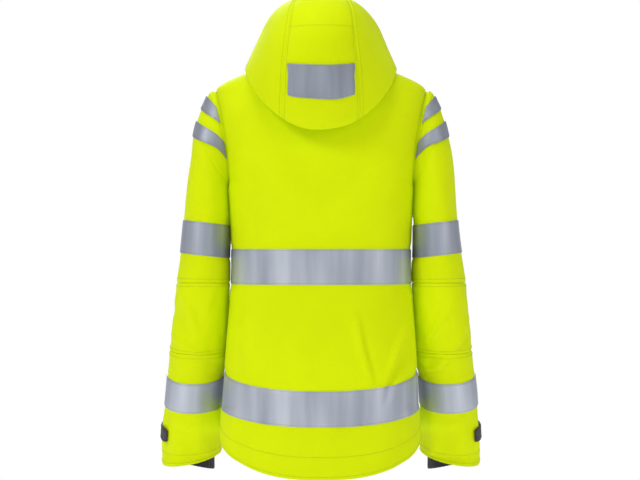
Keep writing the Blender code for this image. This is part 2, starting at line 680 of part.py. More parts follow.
# ---- hood ----
HOOD_SEAM = 0.325        # half width of the centre panel, as a share of the section
HOOD_PIVOT = (0.0, -0.020, -0.004)
FOLD_ROW = 0.0295        # cloth between two rows of the table beside the bottom fold
NECK_END = 3 - 1.60 * CLOTH / FOLD_ROW    # the row where the neck panel stops short of the fold
HOOD_START = 3 + 1.02 * CLOTH / FOLD_ROW
HOOD_REACH = 0.150       # outline of the hood's section from the middle to one side
NECK_EDGE = 1 - 6.4 * CLOTH / HOOD_REACH    # where the neck panel stops short of the sides
PATCH = (0.0615, -0.024, -0.0855)   # half width, top and bottom z of the reflective patch


def hood_row_at(z):
    """The outer row whose centre lies at height z, between the bottom fold and the crest."""
    low, high = 4.0, 8.0
    for _ in range(40):
        mid = (low + high) / 2
        low, high = (mid, high) if hood(0, mid)[2] < z else (low, mid)
    return low


def hood_v_at(x, row):
    low, high = 0.0, 1.0
    for _ in range(40):
        mid = (low + high) / 2
        low, high = (mid, high) if hood(mid, row)[0] < x else (low, mid)
    return low


def build_hood():
    rows = [HOOD_START, 3.4] + spaced(3.8, 11.62, 17)
    gap = 0.005
    centre = spaced(-HOOD_SEAM + gap, HOOD_SEAM - gap, 7)
    slab("hood_centre_panel", hood, centre, rows, -CLOTH, 0, "shell_yellow", sign=-1,
         origin=HOOD_PIVOT)
    for word, side in (("left", 1), ("right", -1)):
        slab(f"hood_{word}_side", hood, spaced(HOOD_SEAM + gap, 0.995, 11), rows, -CLOTH, 0,
             "shell_yellow", sign=-1, origin=HOOD_PIVOT, side=side)
    slab("hood_brim", hood, spaced(-0.99, 0.99, 19), spaced(11.68, 12, 3), -0.0042, 0.0004,
         "shell_yellow", sign=-1, origin=HOOD_PIVOT)
    slab("hood_neck_panel", hood, spaced(-NECK_EDGE, NECK_EDGE, 25), spaced(0, NECK_END, 9), -CLOTH, 0,
         "shell_yellow", sign=-1)
    top, low = hood_row_at(PATCH[1]), hood_row_at(PATCH[2])
    slab("hood_reflective_patch", hood, lambda row: spaced(-hood_v_at(PATCH[0], row),
                                                           hood_v_at(PATCH[0], row), 13),
         spaced(low, top, 9), 0.0016, 0.0026, "reflective_tape", sign=-1, origin=HOOD_PIVOT)


def main():
    clear_scene()
    build_torso()
    build_zips()
    build_sleeves()
    build_hood()


if __name__ == "__main__":
    main()
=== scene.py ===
"""Looks of the hooded high-visibility shell jacket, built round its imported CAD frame.

The shapes below repeat the cut of the jacket at a fine mesh, and lay folds, seams, tape,
stitching and zip teeth on it. Each piece then rides on its body or bends across one joint.
"""

import json
import logging
import math
from dataclasses import dataclass, field
from enum import Enum
from typing import Dict, List, Optional, Sequence, Tuple, Union

import bpy
import numpy as np
from mathutils import Vector
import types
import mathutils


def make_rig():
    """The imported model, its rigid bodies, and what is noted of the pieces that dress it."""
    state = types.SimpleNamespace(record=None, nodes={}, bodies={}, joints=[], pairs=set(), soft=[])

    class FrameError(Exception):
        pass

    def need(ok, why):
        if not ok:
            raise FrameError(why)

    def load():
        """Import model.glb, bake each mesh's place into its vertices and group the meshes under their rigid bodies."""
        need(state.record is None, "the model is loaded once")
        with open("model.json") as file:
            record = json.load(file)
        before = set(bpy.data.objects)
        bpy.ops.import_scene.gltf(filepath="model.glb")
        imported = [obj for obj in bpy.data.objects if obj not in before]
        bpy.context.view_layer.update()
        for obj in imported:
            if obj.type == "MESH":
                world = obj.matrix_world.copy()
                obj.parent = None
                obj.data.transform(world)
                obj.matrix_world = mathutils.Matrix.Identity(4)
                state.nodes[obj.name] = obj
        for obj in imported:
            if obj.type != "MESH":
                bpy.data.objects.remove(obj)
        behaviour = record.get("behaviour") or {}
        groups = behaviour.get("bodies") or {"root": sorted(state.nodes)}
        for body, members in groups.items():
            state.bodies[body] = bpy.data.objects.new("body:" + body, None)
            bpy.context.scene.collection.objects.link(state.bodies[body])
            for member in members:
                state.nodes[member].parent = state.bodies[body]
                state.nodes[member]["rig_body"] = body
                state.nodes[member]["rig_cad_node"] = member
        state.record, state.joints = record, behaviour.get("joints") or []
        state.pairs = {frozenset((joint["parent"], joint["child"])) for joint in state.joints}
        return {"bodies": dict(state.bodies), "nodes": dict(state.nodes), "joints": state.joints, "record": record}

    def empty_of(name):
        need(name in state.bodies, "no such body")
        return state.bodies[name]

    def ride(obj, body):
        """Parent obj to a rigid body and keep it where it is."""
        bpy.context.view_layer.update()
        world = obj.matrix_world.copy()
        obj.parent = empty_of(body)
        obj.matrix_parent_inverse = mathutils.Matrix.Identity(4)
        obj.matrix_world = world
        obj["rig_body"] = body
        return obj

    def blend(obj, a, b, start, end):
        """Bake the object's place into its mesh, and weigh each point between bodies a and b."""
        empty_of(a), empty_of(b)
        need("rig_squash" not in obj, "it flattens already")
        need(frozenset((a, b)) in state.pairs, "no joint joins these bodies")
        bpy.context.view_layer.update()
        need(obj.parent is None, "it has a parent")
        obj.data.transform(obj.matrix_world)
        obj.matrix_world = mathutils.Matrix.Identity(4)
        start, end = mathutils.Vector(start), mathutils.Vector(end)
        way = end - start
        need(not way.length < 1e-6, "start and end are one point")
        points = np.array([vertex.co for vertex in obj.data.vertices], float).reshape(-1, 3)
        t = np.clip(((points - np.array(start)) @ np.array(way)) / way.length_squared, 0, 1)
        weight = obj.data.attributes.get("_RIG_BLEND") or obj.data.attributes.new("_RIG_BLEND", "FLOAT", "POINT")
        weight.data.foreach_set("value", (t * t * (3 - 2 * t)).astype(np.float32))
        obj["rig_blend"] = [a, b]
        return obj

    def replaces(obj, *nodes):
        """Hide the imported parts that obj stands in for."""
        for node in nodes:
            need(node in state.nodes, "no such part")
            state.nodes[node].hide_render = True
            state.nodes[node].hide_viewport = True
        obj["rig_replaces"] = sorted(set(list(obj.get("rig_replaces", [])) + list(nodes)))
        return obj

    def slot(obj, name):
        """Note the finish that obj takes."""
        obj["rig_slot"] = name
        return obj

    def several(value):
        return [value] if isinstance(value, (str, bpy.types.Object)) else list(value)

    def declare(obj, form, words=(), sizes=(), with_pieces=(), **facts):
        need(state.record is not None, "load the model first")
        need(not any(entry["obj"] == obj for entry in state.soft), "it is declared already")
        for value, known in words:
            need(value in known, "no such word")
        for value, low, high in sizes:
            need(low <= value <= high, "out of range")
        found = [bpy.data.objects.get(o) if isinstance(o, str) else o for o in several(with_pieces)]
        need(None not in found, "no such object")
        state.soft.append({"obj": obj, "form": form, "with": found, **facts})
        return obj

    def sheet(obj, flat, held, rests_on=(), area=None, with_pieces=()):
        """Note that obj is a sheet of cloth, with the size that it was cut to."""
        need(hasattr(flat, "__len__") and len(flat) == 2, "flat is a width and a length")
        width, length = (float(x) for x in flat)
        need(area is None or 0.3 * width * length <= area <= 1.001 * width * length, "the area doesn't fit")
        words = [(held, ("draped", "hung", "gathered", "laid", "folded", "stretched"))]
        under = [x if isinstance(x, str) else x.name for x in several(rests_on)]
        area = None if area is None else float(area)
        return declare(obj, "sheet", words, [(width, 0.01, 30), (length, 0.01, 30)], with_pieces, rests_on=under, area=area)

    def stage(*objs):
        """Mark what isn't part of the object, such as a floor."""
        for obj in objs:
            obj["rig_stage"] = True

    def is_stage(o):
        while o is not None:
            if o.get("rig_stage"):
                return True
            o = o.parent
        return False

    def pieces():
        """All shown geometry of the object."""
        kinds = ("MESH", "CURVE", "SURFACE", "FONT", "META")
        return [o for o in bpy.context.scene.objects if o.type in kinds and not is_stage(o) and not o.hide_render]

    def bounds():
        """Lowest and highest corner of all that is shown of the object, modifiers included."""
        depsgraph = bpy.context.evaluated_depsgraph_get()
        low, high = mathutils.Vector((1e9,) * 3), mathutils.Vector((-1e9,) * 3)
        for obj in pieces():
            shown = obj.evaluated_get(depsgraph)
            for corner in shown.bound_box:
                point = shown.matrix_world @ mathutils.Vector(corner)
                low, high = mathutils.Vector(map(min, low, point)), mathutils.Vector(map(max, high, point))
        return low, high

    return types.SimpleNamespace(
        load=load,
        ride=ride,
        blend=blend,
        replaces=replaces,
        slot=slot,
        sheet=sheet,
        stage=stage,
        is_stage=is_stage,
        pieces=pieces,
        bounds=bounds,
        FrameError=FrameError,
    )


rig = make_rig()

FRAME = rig.load()
LOG = logging.getLogger("jacket")
TO_LOOP = np.array([0.0, -0.0475, 0.0])
# Metres: how far a tape's face stands off the cloth under it, how thick it is, how wide the
# strip along its edge is that turns down and how far that turns, and how far a sleeve panel's
# edge turns down at its seam.
TAPE_LIFT = 0.0019
TAPE_THICK = 0.0012
TAPE_ROLL = 0.0016
TAPE_DIP = 0.0007
SEAM_DIP = 0.0011
Array = np.ndarray
Vec = Tuple[float, float, float]


class Side(Enum):
    """The wearer's side that a piece is on, as the sign of its X."""

    LEFT = 1
    RIGHT = -1

    @property
    def word(self) -> str:
        """The side's word in piece and body names."""
        return self.name.lower()


# ---------------------------------------------------------------- small tools


def linear(hex_colour: str) -> Tuple[float, float, float, float]:
    """Turns an sRGB hex colour to linear light.

    Args:
        hex_colour: Six hex digits after a hash sign.

    Returns:
        Red, green, blue and a full alpha.
    """
    parts = [int(hex_colour[i : i + 2], 16) / 255 for i in (1, 3, 5)]
    out = [c / 12.92 if c <= 0.04045 else ((c + 0.055) / 1.055) ** 2.4 for c in parts]
    return (out[0], out[1], out[2], 1.0)


def add_node(tree: bpy.types.NodeTree, kind: str, settings: Optional[Dict] = None,
             **links: object) -> bpy.types.Node:
    """Adds a node, sets its properties and fills its inputs.

    Args:
        tree: The tree to add to.
        kind: The node's type name.
        settings: Properties of the node itself.
        **links: Input values or output sockets, named by the input with underscores,
            or in0, in1 and so on by position.

    Returns:
        The new node.
    """
    node = tree.nodes.new(kind)
    for key, value in (settings or {}).items():
        setattr(node, key, value)
    for key, value in links.items():
        if key.startswith("in") and key[2:].isdigit():
            socket = node.inputs[int(key[2:])]
        else:
            socket = node.inputs[key.replace("_", " ")]
        if isinstance(value, bpy.types.NodeSocket):
            tree.links.new(value, socket)
        else:
            socket.default_value = value
    return node


def power(value: Array, exponent: Array) -> Array:
    """Raises the size of a value to a power and keeps its sign."""
    return np.sign(value) * np.abs(value) ** exponent


@dataclass(frozen=True)
class SmoothTable:
    """A monotone cubic through a table whose keys fall.

    Attributes:
        keys: Levels, from the highest down.
        values: The value at each level.
    """

    keys: Tuple[float, ...]
    values: Tuple[float, ...]

    def __call__(self, at: Array) -> Array:
        """Reads the table, held flat outside it."""
        xs, ys = -np.array(self.keys), np.array(self.values)
        h = np.diff(xs)
        d = np.diff(ys) / h
        m = np.zeros(len(xs))
        m[0], m[-1] = d[0], d[-1]
        w1, w2 = 2 * h[1:] + h[:-1], h[1:] + 2 * h[:-1]
        same = d[:-1] * d[1:] > 0
        safe = np.where(same, w1 / np.where(same, d[:-1], 1) + w2 / np.where(same, d[1:], 1), 1)
        m[1:-1] = np.where(same, (w1 + w2) / safe, 0)
        x = np.clip(-np.asarray(at, float), xs[0], xs[-1])
        i = np.clip(np.searchsorted(xs, x) - 1, 0, len(xs) - 2)
        t = (x - xs[i]) / h[i]
        return ((2 * t**3 - 3 * t**2 + 1) * ys[i] + (t**3 - 2 * t**2 + t) * h[i] * m[i]
                + (3 * t**2 - 2 * t**3) * ys[i + 1] + (t**3 - t**2) * h[i] * m[i + 1])


def ripple(a: Array, b: Array, size: float, seed: int, stretch: float = 1.0) -> Array:
    """Smooth unrepeating waves in two directions, from -1 to 1 or so.

    Args:
        a: First coordinate, metres.
        b: Second coordinate, metres.
        size: Length of the waves, metres.
        seed: Picks the pattern.
        stretch: How much longer the waves run along b.

    Returns:
        The height at each point.
    """
    rng = np.random.default_rng(seed)
    total = np.zeros(np.broadcast(a, b).shape)
    for _ in range(9):
        turn, phase, scale = rng.uniform(0, 2 * math.pi, 3)
        k = 2 * math.pi / size * (0.6 + 0.8 * scale / (2 * math.pi))
        total += np.sin(k * (a * math.cos(turn) + b * math.sin(turn) / stretch) + phase)
    return total / 4.5


def step(x: Array, low: float, high: float) -> Array:
    """Rises smoothly from 0 at low to 1 at high."""
    t = np.clip((x - low) / (high - low), 0, 1)
    return t * t * (3 - 2 * t)


@dataclass(frozen=True)
class Crease:
    """One soft fold: a curved line on the cloth that stands proud or sinks.

    Attributes:
        points: The fold's line as pairs in the plane that the folds are drawn in, metres.
        height: How far it stands out; below 0 it is a valley.
        width: Half width of the rounded fold.
        sharp: Under 1 makes one flank steeper than the other.
    """

    points: Tuple[Tuple[float, float], ...]
    height: float
    width: float
    sharp: float = 1.0

    def lift(self, a: Array, b: Array) -> Array:
        """The fold's height at each point (a, b)."""
        best = np.full(a.shape, 1e9)
        along = np.zeros(a.shape)
        flank = np.ones(a.shape)
        pts = np.array(self.points)
        span = len(pts) - 1
        for i in range(span):
            p, q = pts[i], pts[i + 1]
            d = q - p
            t = np.clip(((a - p[0]) * d[0] + (b - p[1]) * d[1]) / (d @ d), 0, 1)
            da, db = a - p[0] - t * d[0], b - p[1] - t * d[1]
            dist = np.hypot(da, db)
            near = dist < best
            best = np.where(near, dist, best)
            along = np.where(near, (i + t) / span, along)
            flank = np.where(near, np.sign(d[0] * db - d[1] * da), flank)
        width = np.where(flank > 0, self.width, self.width * self.sharp)
        return self.height * np.exp(-((best / width) ** 2)) * np.sin(math.pi * np.clip(
            0.08 + 0.84 * along, 0, 1)) ** 0.7


def lifts(creases: Sequence[Crease], a: Array, b: Array) -> Array:
    """The summed height of several folds."""
    total = np.zeros(np.broadcast(a, b).shape)
    for crease in creases:
        total = total + crease.lift(a, b)
    return total


# ---------------------------------------------------------------- finishes


@dataclass(frozen=True)
class Finish:
    """A finish of the jacket: its name, the record's slot and its main colour."""

    name: str
    slot: str
    colour: str
    roughness: float = 0.6

    def material(self) -> bpy.types.Material:
        """The finish's material, built once."""
        made = bpy.data.materials.get(self.name)
        if made is None:
            made = bpy.data.materials.new(self.name)
            made.use_nodes = True
            made.node_tree.nodes.clear()
            self.build(made.node_tree)
        return made

    def shader(self, tree: bpy.types.NodeTree, colour: object, normal: object = None,
               rough: object = None, **plain: float) -> bpy.types.Node:
        """Adds the shader and its output.

        Args:
            tree: The material's tree.
            colour: A colour, or the socket that gives one.
            normal: The socket of a bump, if there is one.
            rough: A socket for roughness, if it varies.
            **plain: Other shader inputs, as numbers.

        Returns:
            The shader node.
        """
        links = {"Base_Color": colour, "Roughness": self.roughness if rough is None else rough}
        if normal is not None:
            links["Normal"] = normal
        links.update(plain)
        node = add_node(tree, "ShaderNodeBsdfPrincipled", **links)
        add_node(tree, "ShaderNodeOutputMaterial", Surface=node.outputs[0])
        return node

    def weave(self, tree: bpy.types.NodeTree, pitch: float, depth: float,
              extra: object = None) -> bpy.types.NodeSocket:
        """A plain weave that follows the cut, as a bump normal.

        Args:
            tree: The material's tree.
            pitch: Thread spacing, metres.
            depth: Bump height, metres.
            extra: A socket added to the height.

        Returns:
            The bump's normal socket.
        """
        uv = add_node(tree, "ShaderNodeUVMap", {"uv_map": "cut"}).outputs[0]
        split = add_node(tree, "ShaderNodeSeparateXYZ", in0=uv)
        waves = []
        for axis in (0, 1):
            turn = add_node(tree, "ShaderNodeMath", {"operation": "MULTIPLY"},
                            in0=split.outputs[axis], in1=2 * math.pi / pitch)
            waves.append(add_node(tree, "ShaderNodeMath", {"operation": "SINE"},
                                  in0=turn.outputs[0]).outputs[0])
        both = add_node(tree, "ShaderNodeMath", {"operation": "MULTIPLY"}, in0=waves[0], in1=waves[1])
        height = both.outputs[0]
        if extra is not None:
            height = add_node(tree, "ShaderNodeMath", {"operation": "ADD"}, in0=height,
                              in1=extra).outputs[0]
        return add_node(tree, "ShaderNodeBump", Strength=0.6, Distance=depth,
                        Height=height).outputs[0]

    def build(self, tree: bpy.types.NodeTree) -> None:
        """Builds the nodes of a plain finish with a fine grain."""
        where = add_node(tree, "ShaderNodeTexCoord").outputs["Object"]
        grain = add_node(tree, "ShaderNodeTexNoise", Vector=where, Scale=900.0, Detail=3.0)
        bump = add_node(tree, "ShaderNodeBump", Strength=0.25, Distance=0.0003,
                        Height=grain.outputs[0])
        self.shader(tree, linear(self.colour), bump.outputs[0])


@dataclass(frozen=True)
class ShellLaminate(Finish):
    """Fluorescent polyester, plain woven and laminated: bright, matt, with a faint sheen.

    The cloth has a painted glow: it gives out a little light of its own, standing in for the fluorescent dye, so it
    stays bright under every light.
    Threads are 0.35 mm apart and are drawn 1.1 mm apart so that they show.
    """

    shade: str = "#c9dc00"
    pale: str = "#dcf000"
    # Strength of the painted glow: light that the shell gives out in its own colour.
    glow: float = 0.06

    def build(self, tree: bpy.types.NodeTree) -> None:
        """Builds the dyed cloth: slow colour drift, woven bump, soft crumple and a painted glow."""
        where = add_node(tree, "ShaderNodeTexCoord").outputs["Object"]
        slow = add_node(tree, "ShaderNodeTexNoise", Vector=where, Scale=7.0, Detail=3.0,
                        Roughness=0.5)
        fine = add_node(tree, "ShaderNodeTexNoise", Vector=where, Scale=420.0, Detail=2.0)
        ramp = add_node(tree, "ShaderNodeValToRGB", Fac=slow.outputs[0])
        ramp.color_ramp.elements[0].position = 0.30
        ramp.color_ramp.elements[0].color = linear(self.colour)
        ramp.color_ramp.elements[1].position = 0.72
        ramp.color_ramp.elements[1].color = linear(self.pale)
        cavity = add_node(tree, "ShaderNodeMix", {"data_type": "RGBA", "blend_type": "MIX"},
                          in0=0.0, in6=ramp.outputs[0], in7=linear(self.shade))
        fleck = add_node(tree, "ShaderNodeMapRange", Value=fine.outputs[0])
        fleck.inputs["From Min"].default_value = 0.35
        fleck.inputs["From Max"].default_value = 0.75
        fleck.inputs["To Max"].default_value = 0.22
        tree.links.new(fleck.outputs[0], cavity.inputs[0])
        crumple = add_node(tree, "ShaderNodeTexNoise", Vector=where, Scale=38.0, Detail=5.0,
                           Roughness=0.62)
        soft = add_node(tree, "ShaderNodeMath", {"operation": "MULTIPLY"}, in0=crumple.outputs[0],
                        in1=3.0)
        normal = self.weave(tree, 0.0011, 0.00012, soft.outputs[0])
        node = self.shader(tree, cavity.outputs[2], normal)
        node.inputs["Sheen Weight"].default_value = 0.008
        node.inputs["Sheen Roughness"].default_value = 0.45
        node.inputs["Specular IOR Level"].default_value = 0.07
        # Painted glow: the cloth's colour is given out as light, so the shell reads brighter than the lamps make it.
        tree.links.new(cavity.outputs[2], node.inputs["Emission Color"])
        node.inputs["Emission Strength"].default_value = self.glow


@dataclass(frozen=True)
class BeadedTape(Finish):
    """Silver retroreflective tape: glass beads on a metal film over cloth.

    It is a satin grey with broad soft bands of painted reflection, lighter and darker greys laid across the run as a
    bent film would catch the light, and a fine grain of beads, 0.06 mm in the real tape and drawn at 0.7 mm.
    """

    # Darkest and lightest grey of the painted reflection bands.
    dark: str = "#858b98"
    light: str = "#bfc4d0"

    def build(self, tree: bpy.types.NodeTree) -> None:
        """Builds the beaded film: painted reflection bands of grey across the run, and bead grain."""
        uv = add_node(tree, "ShaderNodeUVMap", {"uv_map": "cut"}).outputs[0]
        where = add_node(tree, "ShaderNodeTexCoord").outputs["Object"]
        long_way = add_node(tree, "ShaderNodeMapping", Vector=uv)
        long_way.inputs["Scale"].default_value = (22.0, 2.2, 1.0)
        # Painted reflection: stretched noise bands that move the grey between dark and light along the tape.
        bands = add_node(tree, "ShaderNodeTexNoise", Vector=long_way.outputs[0], Scale=1.0,
                         Detail=3.0, Roughness=0.45)
        ramp = add_node(tree, "ShaderNodeValToRGB", Fac=bands.outputs[0])
        ramp.color_ramp.elements[0].position = 0.28
        ramp.color_ramp.elements[0].color = linear(self.dark)
        ramp.color_ramp.elements[1].position = 0.74
        ramp.color_ramp.elements[1].color = linear(self.light)
        middle = ramp.color_ramp.elements.new(0.50)
        middle.color = linear(self.colour)
        beads = add_node(tree, "ShaderNodeTexVoronoi", Vector=where, Scale=1450.0)
        rough = add_node(tree, "ShaderNodeMapRange", Value=bands.outputs[0])
        rough.inputs["To Min"].default_value = 0.36
        rough.inputs["To Max"].default_value = 0.54
        grain = add_node(tree, "ShaderNodeMath", {"operation": "MULTIPLY"}, in0=beads.outputs[0],
                         in1=0.9)
        normal = self.weave(tree, 0.0013, 0.00007, grain.outputs[0])
        self.shader(tree, ramp.outputs[0], normal, rough.outputs[0], Metallic=0.45)


@dataclass(frozen=True)
class KnitTrim(Finish):
    """Black knitted or looped trim: dull and furry, drawn with ribs along the cut."""

    pitch: float = 0.0022

    def build(self, tree: bpy.types.NodeTree) -> None:
        """Builds the ribbed knit."""
        where = add_node(tree, "ShaderNodeTexCoord").outputs["Object"]
        fuzz = add_node(tree, "ShaderNodeTexNoise", Vector=where, Scale=700.0, Detail=4.0)
        ramp = add_node(tree, "ShaderNodeValToRGB", Fac=fuzz.outputs[0])
        ramp.color_ramp.elements[0].color = linear(self.colour)
        ramp.color_ramp.elements[1].color = linear("#2b2830")
        normal = self.weave(tree, self.pitch, 0.0005, fuzz.outputs[0])
        node = self.shader(tree, ramp.outputs[0], normal)
        node.inputs["Sheen Weight"].default_value = 0.2


@dataclass(frozen=True)
class Enamel(Finish):
    """Die-cast zinc with dark enamel: fine orange peel and rubbed edges' sheen."""

    def build(self, tree: bpy.types.NodeTree) -> None:
        """Builds the enamel."""
        where = add_node(tree, "ShaderNodeTexCoord").outputs["Object"]
        peel = add_node(tree, "ShaderNodeTexNoise", Vector=where, Scale=600.0, Detail=2.0)
        bump = add_node(tree, "ShaderNodeBump", Strength=0.2, Distance=0.0002,
                        Height=peel.outputs[0])
        rub = add_node(tree, "ShaderNodeTexNoise", Vector=where, Scale=120.0, Detail=3.0)
        rough = add_node(tree, "ShaderNodeMapRange", Value=rub.outputs[0])
        rough.inputs["To Min"].default_value = 0.28
        rough.inputs["To Max"].default_value = 0.5
        self.shader(tree, linear(self.colour), bump.outputs[0], rough.outputs[0], Metallic=0.85)


@dataclass(frozen=True)
class LitPaper(Finish):
    """White studio paper with a slight glow, so that it stays pale where the lights are weak."""

    glow: float = 0.20

    def build(self, tree: bpy.types.NodeTree) -> None:
        """Builds the paper with its faint tooth."""
        where = add_node(tree, "ShaderNodeTexCoord").outputs["Object"]
        tooth = add_node(tree, "ShaderNodeTexNoise", Vector=where, Scale=240.0, Detail=2.0)
        bump = add_node(tree, "ShaderNodeBump", Strength=0.1, Distance=0.0002,
                        Height=tooth.outputs[0])
        node = self.shader(tree, linear(self.colour), bump.outputs[0])
        node.inputs["Emission Color"].default_value = (1.0, 1.0, 1.0, 1.0)
        node.inputs["Emission Strength"].default_value = self.glow


SHELL = ShellLaminate("fluorescent_polyester_laminate", "shell_yellow", "#d4e600", 0.62)
# Each tape's last two colours are the dark and light greys of its painted reflection bands.
TAPE = BeadedTape("glass_bead_reflective_tape", "reflective_tape", "#b4bac7", 0.45,
                  "#949aa7", "#ccd1dc")
# A darker copy of the same tape for the upper sleeve bands: painted shade.
SHADED_ARM_TAPE = BeadedTape("worn_reflective_tape", "reflective_tape", "#a2a8b6", 0.45,
                      "#7f8592", "#c3c8d3")
HOOK = KnitTrim("black_hook_and_loop", "black_trim", "#121016", 0.85, 0.0012)
KNIT = KnitTrim("black_rib_knit", "black_trim", "#100c18", 0.9, 0.0024)
MESH_LINING = KnitTrim("charcoal_warp_knit_lining", "lining_mesh", "#26262a", 0.9, 0.0030)
COIL = Finish("black_nylon_coil", "zip_black", "#17171a", 0.42)
ZIP_CLOTH = KnitTrim("black_zip_tape_weave", "zip_black", "#141417", 0.8, 0.0009)
ZINC = Enamel("dark_enamelled_zinc", "slider_metal", "#3c3d42", 0.4)
THREAD = Finish("spun_polyester_thread", "shell_yellow", "#bccb00", 0.7)
BLACK_THREAD = Finish("black_polyester_thread", "black_trim", "#1d1b20", 0.6)
GREY_THREAD = Finish("grey_polyester_thread", "reflective_tape", "#8d929c", 0.7)
# A darker copy of the same tape for the shoulder stripes and the hood patch: painted shade, so that they don't read
# brighter where the top lights fall on them.
SHADED_TAPE = BeadedTape("weathered_reflective_tape", "reflective_tape", "#959ba8", 0.48,
                       "#7b818d", "#aab0bc")
PAPER = LitPaper("white_studio_paper", "", "#ffffff", 0.9)


# ---------------------------------------------------------------- cloth pieces


def grid_normals(points: Array, ring: bool) -> Array:
    """Unit normals of a grid of points, across times down.

    Args:
        points: Rows by columns by 3.
        ring: Whether the last column joins the first.

    Returns:
        An array of the same shape.
    """
    if ring:
        across = np.roll(points, -1, axis=1) - np.roll(points, 1, axis=1)
    else:
        across = np.gradient(points, axis=1)
    normals = np.cross(across, np.gradient(points, axis=0))
    return normals / np.maximum(np.linalg.norm(normals, axis=2, keepdims=True), 1e-12)


